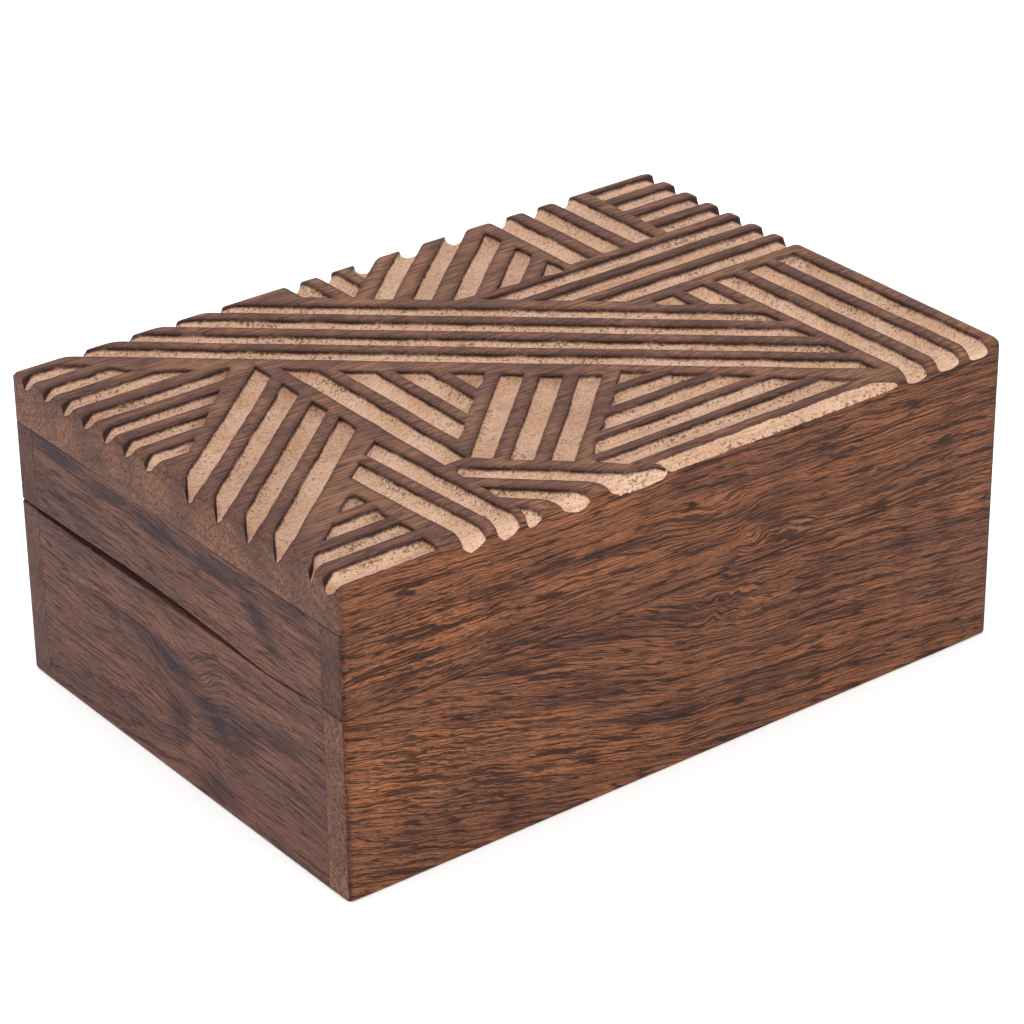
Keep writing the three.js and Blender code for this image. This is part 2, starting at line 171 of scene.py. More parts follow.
class Net:
    """One material and its node tree."""

    def __init__(self, name: str) -> None:
        """Start an empty material.

        Args:
            name: Name of the material.
        """
        self.material = bpy.data.materials.new(name)
        self.material.use_nodes = True
        self.tree = self.material.node_tree
        self.tree.nodes.clear()

    def node(
        self,
        kind: str,
        settings: dict[str, Any] | None = None,
        sockets: dict[str | int, Any] | None = None,
    ) -> bpy.types.Node:
        """Add one node.

        Args:
            kind: The node's type.
            settings: Its own properties, set before the sockets.
            sockets: Values or links by socket name or number.

        Returns:
            The new node.
        """
        made = self.tree.nodes.new(kind)
        for key, setting in (settings or {}).items():
            setattr(made, key, setting)
        for key, given in (sockets or {}).items():
            socket = made.inputs[key]
            if isinstance(given, Value):
                self.tree.links.new(given.socket, socket)
            elif isinstance(given, bpy.types.NodeSocket):
                self.tree.links.new(given, socket)
            else:
                socket.default_value = given
        return made

    def place(self) -> bpy.types.NodeSocket:
        """Find where a surface point lies.

        Returns:
            The point in millimetres, in the piece's own frame.
        """
        own = self.node("ShaderNodeTexCoord").outputs["Object"]
        scale = (1.0 / MM, 1.0 / MM, 1.0 / MM)
        return self.node("ShaderNodeVectorMath", {"operation": "MULTIPLY"}, {0: own, 1: scale}).outputs[0]

    def split(self, vector: bpy.types.NodeSocket) -> tuple[Value, Value, Value]:
        """Return the three parts of a vector."""
        parts = self.node("ShaderNodeSeparateXYZ", None, {0: vector}).outputs
        return Value(self, parts[0]), Value(self, parts[1]), Value(self, parts[2])

    def join(self, x: Value | float, y: Value | float, z: Value | float) -> bpy.types.NodeSocket:
        """Return the vector of three numbers."""
        return self.node("ShaderNodeCombineXYZ", None, {0: x, 1: y, 2: z}).outputs[0]

    def noise(
        self, vector: bpy.types.NodeSocket, detail: float = 2.0, rough: float = 0.5, twist: float = 0.0
    ) -> Value:
        """Return smooth noise of about 0.2 to 0.8 with cells of one unit.

        Args:
            vector: Where to read the noise, already scaled.
            detail: Number of finer layers.
            rough: Strength of each finer layer.
            twist: How much the noise is bent by itself.

        Returns:
            The noise.
        """
        sockets = {"Vector": vector, "Scale": 1.0, "Detail": detail, "Roughness": rough, "Distortion": twist}
        return Value(self, self.node("ShaderNodeTexNoise", None, sockets).outputs[0])

    def blend(
        self,
        share: Value | float,
        first: Colour | bpy.types.NodeSocket,
        second: Colour | bpy.types.NodeSocket,
    ) -> bpy.types.NodeSocket:
        """Mix two colours.

        Args:
            share: How much of the second colour, 0 to 1.
            first: The colour at share 0.
            second: The colour at share 1.

        Returns:
            The mixed colour.
        """
        return self.node("ShaderNodeMix", {"data_type": "RGBA"}, {0: share, 6: first, 7: second}).outputs[2]

    def written(self, name: str) -> Value:
        """Return a number that the mesh carries on its points."""
        node = self.node("ShaderNodeAttribute", {"attribute_name": name, "attribute_type": "GEOMETRY"})
        return Value(self, node.outputs["Fac"])

    def finish(
        self,
        colour: bpy.types.NodeSocket | Colour,
        roughness: Value | float,
        height: Value | None = None,
        relief: float = 0.1,
        constants: dict[str, Any] | None = None,
        metal: Value | float = 0.0,
    ) -> bpy.types.Material:
        """Close the material with one shader.

        Args:
            colour: Base colour.
            roughness: Roughness.
            height: Height of fine relief, 0 to 1, if there is any.
            relief: Height in millimetres that 1 stands for.
            constants: Further shader sockets that are the same all over.
            metal: Share of metal.

        Returns:
            The material.
        """
        sockets = {"Base Color": colour, "Roughness": roughness, "Metallic": metal}
        sockets.update(constants or {})
        if height is not None:
            given = {"Strength": 1.0, "Distance": relief * MM, "Height": height}
            sockets["Normal"] = self.node("ShaderNodeBump", None, given).outputs[0]
        shader = self.node("ShaderNodeBsdfPrincipled", None, sockets)
        self.node("ShaderNodeOutputMaterial", None, {"Surface": shader.outputs[0]})
        return self.material


class Run(Enum):
    """The way that a board's grain runs: the numbers of the axes along, across and through it."""

    LONG_BOARD = (0, 2, 1)
    SHORT_BOARD = (1, 2, 0)
    TOP_BOARD = (0, 1, 2)


@dataclass(frozen=True)
class Patch:
    """A soft oval area on a board's face.

    The centre and the half sizes are in millimetres along and across the board, the turn in degrees.
    """

    along: float
    across: float
    half_along: float
    half_across: float
    turn: float = 0.0
    amount: float = 1.0

    def mask(self, net: Net, face: bpy.types.NodeSocket) -> Value:
        """Return the patch's share at a point of the face.

        Args:
            net: The material that the nodes go into.
            face: Vector along and across the face.

        Returns:
            The amount at the centre, falling to 0 at the oval's edge.
        """
        where = {
            "Vector": face,
            "Location": (self.along, self.across, 0.0),
            "Rotation": (0.0, 0.0, math.radians(self.turn)),
            "Scale": (self.half_along, self.half_across, 1.0),
        }
        moved = net.node("ShaderNodeMapping", {"vector_type": "TEXTURE"}, where).outputs[0]
        reach = net.node("ShaderNodeVectorMath", {"operation": "LENGTH"}, {0: moved}).outputs["Value"]
        return Value(net, reach).eased(1.0, 0.25) * self.amount


def patch_sum(net: Net, face: bpy.types.NodeSocket, patches: tuple[Patch, ...]) -> Value | float:
    """Add up the masks of several patches.

    Args:
        net: The material that the nodes go into.
        face: Vector along and across the face.
        patches: The patches.

    Returns:
        The sum, or 0 if there are no patches.
    """
    total: Value | float = 0.0
    for patch in patches:
        total = patch.mask(net, face) + total
    return total


@dataclass(frozen=True)
class BoardWood:
    """The finish of a plain board: wavy dark streaks, pores and soft colour zones under a satin stain."""

    run: Run
    light: Colour
    middle: Colour
    band: Colour
    streak: Colour
    seed: float
    lean: float = 0.0
    lean_left: float = 0.0
    wander: float = 5.0
    ripple: float = 1.6
    streak_share: float = 0.88
    dash_share: float = 0.75
    pore_share: float = 0.4
    band_share: float = 0.4
    lighter: tuple[Patch, ...] = ()
    darker: tuple[Patch, ...] = ()
    stains: tuple[Patch, ...] = ()
    mottled: tuple[Patch, ...] = ()
    swirls: tuple[Patch, ...] = ()
    dashed: tuple[Patch, ...] = ()
    stain: Colour = (0.02, 0.015, 0.02, 1.0)
    worn_ends: float = BOX_LENGTH / 2
    far_shade: float = 0.0
    pale_joint: tuple[float, float, float] | None = None
    joint_fade: float = 20.0
    joint_glint: Colour = (0.42, 0.32, 0.26, 1.0)
    seams: tuple[float, ...] = ()

    def _flow(self, net: Net, axes: tuple[Value, Value, Value], face: bpy.types.NodeSocket) -> Value:
        """Bend the grain across the board.

        Args:
            net: The material that the nodes go into.
            axes: Millimetres along, across and through the board.
            face: Vector along and across the face.

        Returns:
            A height across the board that stays the same along each fibre.
        """
        along, across, through = axes
        seed = self.seed
        wander = net.noise(net.join(along * 0.014 + seed, across * 0.03, through * 0.03), 1.0) - 0.5
        ripple = net.noise(net.join(along * 0.06, across * 0.11 + seed, through * 0.1), 2.0, 0.55) - 0.5
        quiver = net.noise(net.join(along * 0.22, across * 0.35, through * 0.3 + seed), 1.0) - 0.5
        flow = across + along * self.lean + wander * self.wander + ripple * self.ripple + quiver * 0.9
        if self.lean_left:
            flow = flow + along.least(0.0) * self.lean_left
        if self.swirls:
            flow = flow + patch_sum(net, face, self.swirls)
        if self.mottled:
            curl = net.noise(net.join(along * 0.16, across * 0.25, through * 0.3 + seed), 1.0) - 0.5
            flow = flow + curl * patch_sum(net, face, self.mottled) * 5.0
        return flow

    def layers(self, net: Net) -> tuple[bpy.types.NodeSocket, Value, Value]:
        """Work out the look of the wood.

        Args:
            net: The material that the nodes go into.

        Returns:
            Colour, roughness and relief height.
        """
        parts = net.split(net.place())
        axes = tuple(parts[index] for index in self.run.value)
        along, across, through = axes
        seed = self.seed
        shift = net.noise(net.join(along * 0.05 + seed, across * 0.12, through * 0.12 + seed), 3.0, 0.6) - 0.5
        face = net.join(along + shift * 14.0, across + shift * 7.0, 0.0)
        flow = self._flow(net, axes, net.join(along, across, 0.0))

        veins = net.noise(net.join(along * 0.024 + seed, flow * 0.5, through * 0.4), 1.4, 0.45)
        threads = net.noise(net.join(along * 0.036, flow + seed, through), 1.2, 0.45)
        hairs = net.noise(net.join(along * 0.07, flow * 2.0, through * 1.5 + seed), 1.0, 0.5)
        strength = net.noise(net.join(along * 0.05, flow * 0.3 + seed, through * 0.3 + 4.0), 2.0, 0.6)
        ticks = net.noise(net.join(along * 0.36, flow * 3.2, through * 1.7 + seed), 1.2, 0.5)
        flecks = net.noise(net.join(along * 0.5, flow * 3.6 + seed, through * 3.6), 1.0)
        bands = net.noise(net.join(along * 0.014 + seed, flow * 0.17, through * 0.12), 2.0)
        tone = net.noise(net.join(along * 0.03, across * 0.07 + seed, through * 0.05), 2.0, 0.55)
        glints = net.noise(net.join(along * 0.06, flow * 1.1 + 2.0, through * 0.9 + seed * 2.0), 2.0, 0.6)

        lightness = tone.eased(0.34, 0.66) * 0.5 + glints.eased(0.44, 0.64) * 0.42
        if self.lighter:
            lightness = lightness + patch_sum(net, face, self.lighter)
        darkness = bands.eased(0.44, 0.66) * self.band_share
        if self.darker:
            darkness = darkness + patch_sum(net, face, self.darker)
        darkness = darkness + along.eased(-50.0, 20.0) * self.far_shade
        lined = strength + darkness * 0.12
        darkness = darkness.least(1.0) * (0.6 + glints.eased(0.56, 0.4) * 0.4)
        lines = thin_line(veins, 0.03) * lined.eased(0.32, 0.48)
        lines = lines.most(thin_line(threads, 0.045) * strength.eased(0.68, 0.5) * 0.9)
        lines = lines.most(thin_line(hairs, 0.055) * (0.4 + lined.eased(0.5, 0.62) * 0.4))
        dashed: Value | float = 0.35
        if self.dashed:
            dashed = (patch_sum(net, face, self.dashed) + 0.35).least(1.0)
        marks = ticks.eased(0.57, 0.6) * dashed
        holes = flecks.eased(0.58, 0.66)

        colour = net.blend(lightness.least(1.0), self.middle, self.light)
        colour = net.blend(darkness * 0.9, colour, self.band)
        colour = net.blend(lines * self.streak_share, colour, self.streak)
        colour = net.blend(marks * self.dash_share, colour, self.streak)
        colour = net.blend(holes * self.pore_share, colour, self.streak)
        if self.pale_joint:
            low, high, level = self.pale_joint
            joint = abs(across - level).eased(0.22, 0.08) * along.eased(low, low + self.joint_fade)
            joint = joint * along.eased(high, high - self.joint_fade)
            colour = net.blend(joint * 0.3, colour, self.joint_glint)
        if self.stains:
            soaked = patch_sum(net, face, self.stains) * (0.6 + strength.eased(0.35, 0.6) * 0.5)
            colour = net.blend(soaked.least(0.9), colour, self.stain)
        rim = abs(along).eased(self.worn_ends - 2.0, self.worn_ends - 0.2) * 0.5
        for seam in self.seams:
            rim = rim.most(abs(across - seam).eased(0.7, 0.1) * 0.45)
        colour = net.blend(rim, colour, self.streak)

        roughness = 0.52 + lines * 0.08 + (tone - 0.5) * 0.12 + holes * 0.15
        height = 0.7 - lines * 0.35 - marks * 0.3 - holes * 0.3
        return colour, roughness, height

    def dress(self, name: str) -> bpy.types.Material:
        """Make the material.

        Args:
            name: Name of the material.

        Returns:
            The finished material.
        """
        net = Net(name)
        colour, roughness, height = self.layers(net)
        return net.finish(colour, roughness, height, 0.12, {"Specular IOR Level": 0.14})


@dataclass(frozen=True)
class EndGrain:
    """The finish of board ends: fine speckle with faint ring arcs."""

    run: Run
    ground: Colour
    fleck: Colour
    ring_height: float
    bow: float
    seed: float
    seams: tuple[float, ...] = ()

    def dress(self, name: str) -> bpy.types.Material:
        """Make the material.

        Args:
            name: Name of the material.

        Returns:
            The finished material.
        """
        net = Net(name)
        parts = net.split(net.place())
        along, across, through = (parts[index] for index in self.run.value)
        shake = net.noise(net.join(along * 0.05, across * 0.07 + self.seed, through * 0.05), 2.0) - 0.5
        ring_at = across + through * through * self.bow + shake * 5.0
        rings = net.noise(net.join(along * 0.02, ring_at * (1.0 / self.ring_height), self.seed), 3.0, 0.65)
        specks = net.noise(net.join(along * 0.4, across * 1.2, through * 1.2 + self.seed), 2.0, 0.65)
        grit = net.noise(net.join(along * 0.6, across * 2.6, through * 2.6), 1.0, 0.5)
        tone = net.noise(net.join(along * 0.02, across * 0.12 + self.seed, through * 0.06), 2.0)
        colour = net.blend(tone.eased(0.3, 0.7) * 0.35, self.ground, self.fleck)
        colour = net.blend(thin_line(rings, 0.05) * 0.45, colour, self.fleck)
        colour = net.blend(specks.eased(0.5, 0.58) * 0.6, colour, self.fleck)
        colour = net.blend(grit.eased(0.54, 0.6) * 0.65, colour, self.fleck)
        if self.seams:
            rim = abs(across - self.seams[0]).eased(1.2, 0.15) * 0.6
            for seam in self.seams[1:]:
                rim = rim.most(abs(across - seam).eased(1.2, 0.15) * 0.6)
            colour = net.blend(rim, colour, self.fleck)
        height = 0.6 - grit.eased(0.56, 0.7) * 0.3 - specks.eased(0.52, 0.7) * 0.2
        return net.finish(colour, 0.58 + (tone - 0.5) * 0.15, height, 0.1, {"Specular IOR Level": 0.14})


@dataclass(frozen=True)
class CarvedWood:
    """The finish of the carved top: dark stained ridges, raw pale grooves and a tan end grain."""

    side: BoardWood
    ridge: Colour = display(142, 98, 74)
    ridge_dark: Colour = display(102, 71, 62)
    ridge_rim: Colour = display(74, 51, 49)
    ridge_line: Colour = display(50, 30, 26)
    soot_and_shade: Colour = display(42, 23, 17)
    pale: Colour = display(216, 181, 156)
    pale_warm: Colour = display(198, 157, 127)
    pale_line: Colour = display(138, 96, 70)
    torn: Colour = display(80, 44, 27)
    end: Colour = display(129, 88, 68)
    end_dark: Colour = display(52, 32, 26)

    def _ridges(self, net: Net, axes: tuple[Value, Value, Value], tone: Value) -> bpy.types.NodeSocket:
        """Work out the stained wood between the grooves and on their upper walls, with painted shade on the
        walls.

        Args:
            net: The material that the nodes go into.
            axes: Millimetres along, across and through the board.
            tone: Soft light and dark clouds.

        Returns:
            The colour.
        """
        along, across, through = axes
        cut = net.written("cut_depth")
        rim = net.written("rim_distance")
        wander = net.noise(net.join(along * 0.02, across * 0.03 + 3.0, through * 0.05), 2.0) - 0.5
        flow = across + along * 0.04 + wander * 8.0
        threads = net.noise(net.join(along * 0.04, flow * 0.9, through * 0.8), 2.0)
        hairs = net.noise(net.join(along * 0.06, flow * 1.9, through * 1.9), 2.0)
        ticks = net.noise(net.join(along * 0.18, flow * 2.6, through * 2.4), 2.0, 0.6)
        colour = net.blend(tone.eased(0.35, 0.65) * 0.75, self.ridge, self.ridge_dark)
        colour = net.blend(along.eased(-78.0, -98.0) * 0.55, colour, self.ridge_dark)
        colour = net.blend(abs(rim).eased(1.6, 0.0) * 0.6, colour, self.ridge_rim)
        colour = net.blend(thin_line(threads, 0.045) * 0.6, colour, self.ridge_line)
        colour = net.blend(thin_line(hairs, 0.05) * 0.5, colour, self.ridge_line)
        colour = net.blend(ticks.eased(0.54, 0.62) * 0.55, colour, self.ridge_line)
        # Soot and stain with painted shade: the grooves' upper walls turn nearly black where the cut is 0.2
        # to 0.7 mm deep.
        return net.blend(cut.eased(0.2, 0.7) * 0.95, colour, self.soot_and_shade)

    def _grooves(
        self, net: Net, axes: tuple[Value, Value, Value], tone: Value
    ) -> tuple[bpy.types.NodeSocket, Value]:
        """Work out the raw wood of the groove floors.

        Args:
            net: The material that the nodes go into.
            axes: Millimetres along, across and through the board.
            tone: Soft light and dark clouds.

        Returns:
            The colour and where scraps of fibre are torn out.
        """
        along, across, through = axes
        crumbs = net.written("torn_share")
        lines = net.noise(net.join(along * 0.09, across * 1.2, through * 1.2), 3.0, 0.6)
        speck = net.noise(net.join(along * 1.5, across * 1.9, through * 1.9), 2.0, 0.65)
        pits = net.noise(net.join(along * 0.9, across * 1.8, through * 1.8 + 5.0), 2.0, 0.5)
        colour = net.blend(tone.eased(0.3, 0.7) * 0.7, self.pale, self.pale_warm)
        shallow = net.written("stain_and_shade_reach").eased(0.6, 0.3)
        colour = net.blend(lines.eased(0.5, 0.66) * 0.35 + shallow * 0.2, colour, self.pale_line)
        colour = net.blend(speck.eased(0.49, 0.66) * 0.45, colour, self.pale_line)
        colour = net.blend(pits.eased(0.65, 0.72) * 0.5, colour, self.torn)
        scrap = net.noise(net.join(along * 0.9, across * 1.5, through * 1.5 + 9.0), 3.0, 0.7)
        at_wall = net.written("rim_distance").eased(1.5, 0.4) * net.written("stain_and_shade_reach").least(1.0)
        scraps = (scrap + crumbs * 0.09 + at_wall * 0.06).eased(0.65, 0.71)
        return net.blend(scraps * 0.65, colour, self.torn), scraps

    def _ends(self, net: Net, axes: tuple[Value, Value, Value], tone: Value) -> bpy.types.NodeSocket:
        """Work out the end grain of the left and right edges.

        Args:
            net: The material that the nodes go into.
            axes: Millimetres along, across and through the board.
            tone: Soft light and dark clouds.

        Returns:
            The colour.
        """
        along, across, through = axes
        bend = net.noise(net.join(along * 0.02, across * 0.03, through * 0.05), 2.0) - 0.5
        arcs_at = through + across * across * 0.0035 + bend * 8.0
        arcs = net.noise(net.join(along * 0.02, arcs_at * 0.5, across * 0.012), 3.0, 0.65)
        grains = net.noise(net.join(along * 0.5, across * 1.1, through * 1.2), 2.0, 0.65)
        grit = net.noise(net.join(along * 0.8, across * 2.4, through * 2.6), 1.0, 0.5)
        ray_at = (across + through * 0.9) * 0.5
        rays = net.noise(net.join(along * 0.05, ray_at, (through - across) * 0.03), 2.0)
        colour = net.blend(tone.eased(0.4, 0.66) * 0.5, self.end, self.ridge_rim)
        colour = net.blend(arcs.eased(0.48, 0.6) * 0.35, colour, self.end_dark)
        colour = net.blend(thin_line(rays, 0.02) * 0.4, colour, self.end_dark)
        colour = net.blend(through.eased(80.5, 84.0) * 0.4, colour, self.ridge_rim)
        colour = net.blend(grains.eased(0.5, 0.58) * 0.55, colour, self.end_dark)
        colour = net.blend(grit.eased(0.54, 0.6) * 0.65, colour, self.end_dark)
        # Burn and painted shade: the end face darkens just below where a groove leaves the edge.
        return net.blend(net.written("burn_and_shade_share") * 0.6, colour, self.soot_and_shade)

    def dress(self, name: str) -> bpy.types.Material:
        """Make the material.

        Args:
            name: Name of the material.

        Returns:
            The finished material.
        """
        net = Net(name)
        axes = net.split(net.place())
        along, across, through = axes
        cut = net.written("cut_depth")
        rim = net.written("rim_distance")
        reach = net.written("stain_and_shade_reach")
        tone = net.noise(net.join(along * 0.05, across * 0.07, through * 0.05 + 11.0), 2.0, 0.5)
        ragged = net.noise(net.join(along * 0.9, across * 1.3, through * 0.9), 3.0, 0.65) - 0.5
        soft = net.noise(net.join(along * 0.12, across * 0.16, through * 0.2 + 7.0), 2.0) - 0.5
        at_tip = abs(along).eased(97.8, 101.4)
        # The dark stain and painted shade reach down the walls this far before the raw pale wood shows.
        raw = ((rim - at_tip * 0.75 + ragged * 0.25 + soft * 0.35) / reach).eased(0.06, 0.42)

        ridges = self._ridges(net, axes, tone)
        grooves, scraps = self._grooves(net, axes, tone)
        grooves = net.blend(at_tip * 0.45, grooves, self.pale_line)
        colour = net.blend(raw, ridges, grooves)
        side, side_roughness, side_height = self.side.layers(net)
        uncut = cut.eased(0.3, 0.1)
        at_side = net.written("side_share") * uncut
        at_end = net.written("end_share") * uncut
        colour = net.blend(at_side, colour, side)
        colour = net.blend(at_end, colour, self._ends(net, axes, tone))

        roughness = (0.55 + raw * 0.25) * (1.0 - at_side) + side_roughness * at_side
        grit = net.noise(net.join(along * 1.4, across * 1.8, through * 1.8), 3.0, 0.65)
        height = 0.6 + (grit - 0.5) * raw * 1.6 - scraps * raw * 0.7
        height = height * (1.0 - at_side) + side_height * at_side * 0.6
        return net.finish(colour, roughness, height, 0.2, {"Specular IOR Level": 0.14})


@dataclass(frozen=True)
class FeltCloth:
    """The finish of the liner: matted dark fibres."""

    ground: Colour = display(74, 56, 52)
    lint: Colour = display(104, 82, 76)

    def dress(self, name: str) -> bpy.types.Material:
        """Make the material.

        Args:
            name: Name of the material.

        Returns:
            The finished material.
        """
        net = Net(name)
        x, y, z = net.split(net.place())
        mat = net.noise(net.join(x * 1.2, y * 1.2, z), 4.0, 0.7, 1.2)
        fibres = net.noise(net.join(x * 3.5, y * 1.4, z), 2.0, 0.6, 2.0)
        tone = net.noise(net.join(x * 0.04, y * 0.04, 2.0), 2.0)
        colour = net.blend(mat.eased(0.4, 0.7) * 0.6, self.ground, self.lint)
        colour = net.blend(tone.eased(0.3, 0.8) * 0.35, colour, self.ground)
        height = mat * 0.6 + fibres * 0.4
        constants = {"Sheen Weight": 0.35, "Sheen Roughness": 0.5, "Specular IOR Level": 0.15}
        return net.finish(colour, 0.95, height, 0.25, constants)


@dataclass(frozen=True)
class AgedBrass:
    """The finish of the hinges: brass with a brown film."""

    bright: Colour = (0.69, 0.541, 0.275, 1.0)
    film: Colour = (0.3, 0.2, 0.09, 1.0)

    def dress(self, name: str) -> bpy.types.Material:
        """Make the material.

        Args:
            name: Name of the material.

        Returns:
            The finished material.
        """
        net = Net(name)
        x, y, z = net.split(net.place())
        cloud = net.noise(net.join(x * 0.25, y * 0.25, z * 0.25), 4.0, 0.6)
        scratch = net.noise(net.join(x * 0.6, y * 5.0, z * 5.0), 2.0, 0.6)
        film = cloud.eased(0.4, 0.7)
        colour = net.blend(film * 0.55, self.bright, self.film)
        roughness = 0.3 + film * 0.25 + (scratch - 0.5) * 0.12
        return net.finish(colour, roughness, scratch, 0.01, None, 1.0)


@dataclass(frozen=True)
class PaleGround:
    """The finish of the floor: plain and nearly white."""

    colour: Colour = (0.94, 0.94, 0.94, 1.0)
    glow: float = 0.25

    def dress(self, name: str) -> bpy.types.Material:
        """Make the material."""
        glow = {"Emission Color": self.colour, "Emission Strength": self.glow, "Specular IOR Level": 0.1}
        return Net(name).finish(self.colour, 0.9, None, 0.0, glow)


def put_in_scene(name: str, mesh: bpy.types.Mesh, materials: list[bpy.types.Material]) -> bpy.types.Object:
    """Add a mesh to the scene as an object.

    Args:
        name: Name of the object.
        mesh: Its mesh.
        materials: Its material slots in order.

    Returns:
        The object.
    """
    for material in materials:
        mesh.materials.append(material)
    made = bpy.data.objects.new(name, mesh)
    bpy.context.scene.collection.objects.link(made)
    return made


def frame_form(node: str, weld: float) -> bmesh.types.BMesh:
    """Copy a frame part's mesh without its doubled points and needless edges.

    Args:
        node: Name of the frame part.
        weld: Points closer than this, in millimetres, become one.

    Returns:
        The form, which still has to be turned into a mesh.
    """
    form = bmesh.new()
    form.from_mesh(bpy.data.objects[node].data)
    bmesh.ops.remove_doubles(form, verts=form.verts, dist=weld * MM)
    bmesh.ops.dissolve_limit(form, angle_limit=FLAT_ANGLE, verts=form.verts, edges=form.edges)
    return form


def finished_mesh(form: bmesh.types.BMesh, name: str) -> bpy.types.Mesh:
    """Turn a form into a smooth mesh with its sharp edges marked.

    Args:
        form: The form, which is used up.
        name: Name of the mesh.

    Returns:
        The mesh.
    """
    for face in form.faces:
        face.smooth = True
    mesh = bpy.data.meshes.new(name)
    form.to_mesh(mesh)
    form.free()
    mesh.set_sharp_from_angle(angle=math.radians(SHARP_ANGLE))
    return mesh


@dataclass(frozen=True)
class EdgeWear:
    """How a board's edges are rounded off: lengths in millimetres, the angle in degrees.

    An edge that turns by less than the flattest angle stays as it is, and uneven is the range of factors by
    which the rounding of the others varies. The foot is the case's outer lower edge. Its points are those
    that lie at least foot_skin further out than the middle of the case's corner rounding, and foot_levels
    are the heights at which it is cut, as shares of its widest rounding.
    """

    outer: float = 0.6
    corner_extra: float = 0.3
    corner_reach: float = 7.0
    foot_skin: float = 0.8
    foot_levels: tuple[float, ...] = (0.06, 0.2, 0.4, 0.68, 1.0)
    parting: float = 0.24
    joint: float = 0.14
    inner: float = 0.35
    recess: float = 0.1
    flattest: float = 40.0
    widest: float = 1.5
    steps: int = 3
    cut_every: float = 6.5
    cut_shift: float = 0.37
    uneven: tuple[float, float] = (0.75, 1.2)


@dataclass(frozen=True)
class Board:
    """One board of the case or the lid, worn and dressed over its frame part."""

    node: str
    name: str
    body: str
    slot: str
    run: Run
    finish: BoardWood
    ends: EndGrain
    wear: EdgeWear = EdgeWear()
    rims: tuple[float, ...] = (CASE_HEIGHT,)
    half_length: float = BOX_LENGTH / 2
    half_depth: float = BOX_DEPTH / 2
    rim_reach: float = 2.6
    skin: float = 0.05
    end_facing: float = 0.75

    def _radius(self, edge: bmesh.types.BMEdge) -> float:
        """Choose how far one edge is rounded off.

        Args:
            edge: An edge of the cleaned board.

        Returns:
            The radius in millimetres, or 0 for an edge that stays.
        """
        if len(edge.link_faces) != 2 or edge.calc_face_angle(0.0) < math.radians(self.wear.flattest):
            return 0.0
        middle = (edge.verts[0].co + edge.verts[1].co) / (2.0 * MM)
        on_end = abs(middle.x) > self.half_length - self.skin
        on_side = abs(middle.y) > self.half_depth - self.skin
        if not on_end and not on_side:
            return self.wear.inner if abs(middle.z) > BOTTOM_THICKNESS + 0.2 else self.wear.recess
        if middle.z < self.wear.outer:
            return 0.0
        if any(abs(middle.z - rim) < self.rim_reach for rim in self.rims):
            return self.wear.parting
        return self.wear.joint

    def _round_foot(self, form: bmesh.types.BMesh) -> None:
        """Round the outer lower edge of a case board, more at the case's corners.

        Args:
            form: The cleaned board.
        """
        widest = self.wear.outer + self.wear.corner_extra
        for share in self.wear.foot_levels:
            every = form.verts[:] + form.edges[:] + form.faces[:]
            level = Vector((0.0, 0.0, widest * share * MM))
            up = Vector((0.0, 0.0, 1.0))
            bmesh.ops.bisect_plane(form, geom=every, dist=0.005 * MM, plane_co=level, plane_no=up)
        for vert in form.verts:
            x, y, z = (part / MM for part in vert.co)
            over_x = abs(x) - (self.half_length - CORNER_RADIUS)
            over_y = abs(y) - (self.half_depth - CORNER_RADIUS)
            if max(over_x, over_y) < self.wear.foot_skin or z > widest:
                continue
            out = Vector((max(over_x, 0.0), max(over_y, 0.0))).normalized()
            from_corner = math.hypot(min(over_x, 0.0), min(over_y, 0.0))
            near_corner = max(0.0, 1.0 - from_corner / self.wear.corner_reach)
            radius = self.wear.outer + self.wear.corner_extra * near_corner
            if z >= radius:
                continue
            inset = radius - math.sqrt(radius * radius - (radius - z) ** 2)
            vert.co.x -= math.copysign(out.x * inset * MM, x)
            vert.co.y -= math.copysign(out.y * inset * MM, y)

    def _worn_mesh(self, rng: np.random.Generator) -> bpy.types.Mesh:
        """Clean the frame part's mesh, cut it crosswise and mark its edges for rounding.

        Args:
            rng: Source of the small differences along each edge.

        Returns:
            The mesh, ready for the rounding modifier.
        """
        form = frame_form(self.node, weld=0.002)
        axis = self.run.value[0]
        reach = max(abs(vert.co[axis]) for vert in form.verts) / MM
        count = int(2 * reach / self.wear.cut_every)
        normal = Vector((0.0, 0.0, 0.0))
        normal[axis] = 1.0
        for index in range(1, count):
            spot = Vector((0.0, 0.0, 0.0))
            spot[axis] = (-reach + 2 * reach * index / count + self.wear.cut_shift) * MM
            every = form.verts[:] + form.edges[:] + form.faces[:]
            bmesh.ops.bisect_plane(form, geom=every, dist=0.01 * MM, plane_co=spot, plane_no=normal)
        if self.body == "case":
            self._round_foot(form)
        weight = form.edges.layers.float.new("bevel_weight_edge")
        for edge in form.edges:
            radius = self._radius(edge)
            edge[weight] = radius * rng.uniform(*self.wear.uneven) / self.wear.widest if radius else 0.0
        end_axis = 0 if self.run is Run.LONG_BOARD else 1
        for face in form.faces:
            face.material_index = 1 if abs(face.normal[end_axis]) > self.end_facing else 0
        return finished_mesh(form, self.name)

    def build(self, rng: np.random.Generator) -> bpy.types.Object:
        """Make the board, dress it and put it in the place of its frame part.

        Args:
            rng: Source of the small differences along each edge.

        Returns:
            The board.
        """
        mesh = self._worn_mesh(rng)
        looks = [self.finish.dress(f"{self.name}_wood"), self.ends.dress(f"{self.name}_end_grain")]
        made = put_in_scene(self.name, mesh, looks)
        worn = made.modifiers.new("worn edges", "BEVEL")
        worn.limit_method = "WEIGHT"
        worn.width = self.wear.widest * MM
        worn.segments = self.wear.steps
        worn.use_clamp_overlap = False
        worn.harden_normals = True
        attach(made, self.body)
        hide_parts(self.node)
        return made


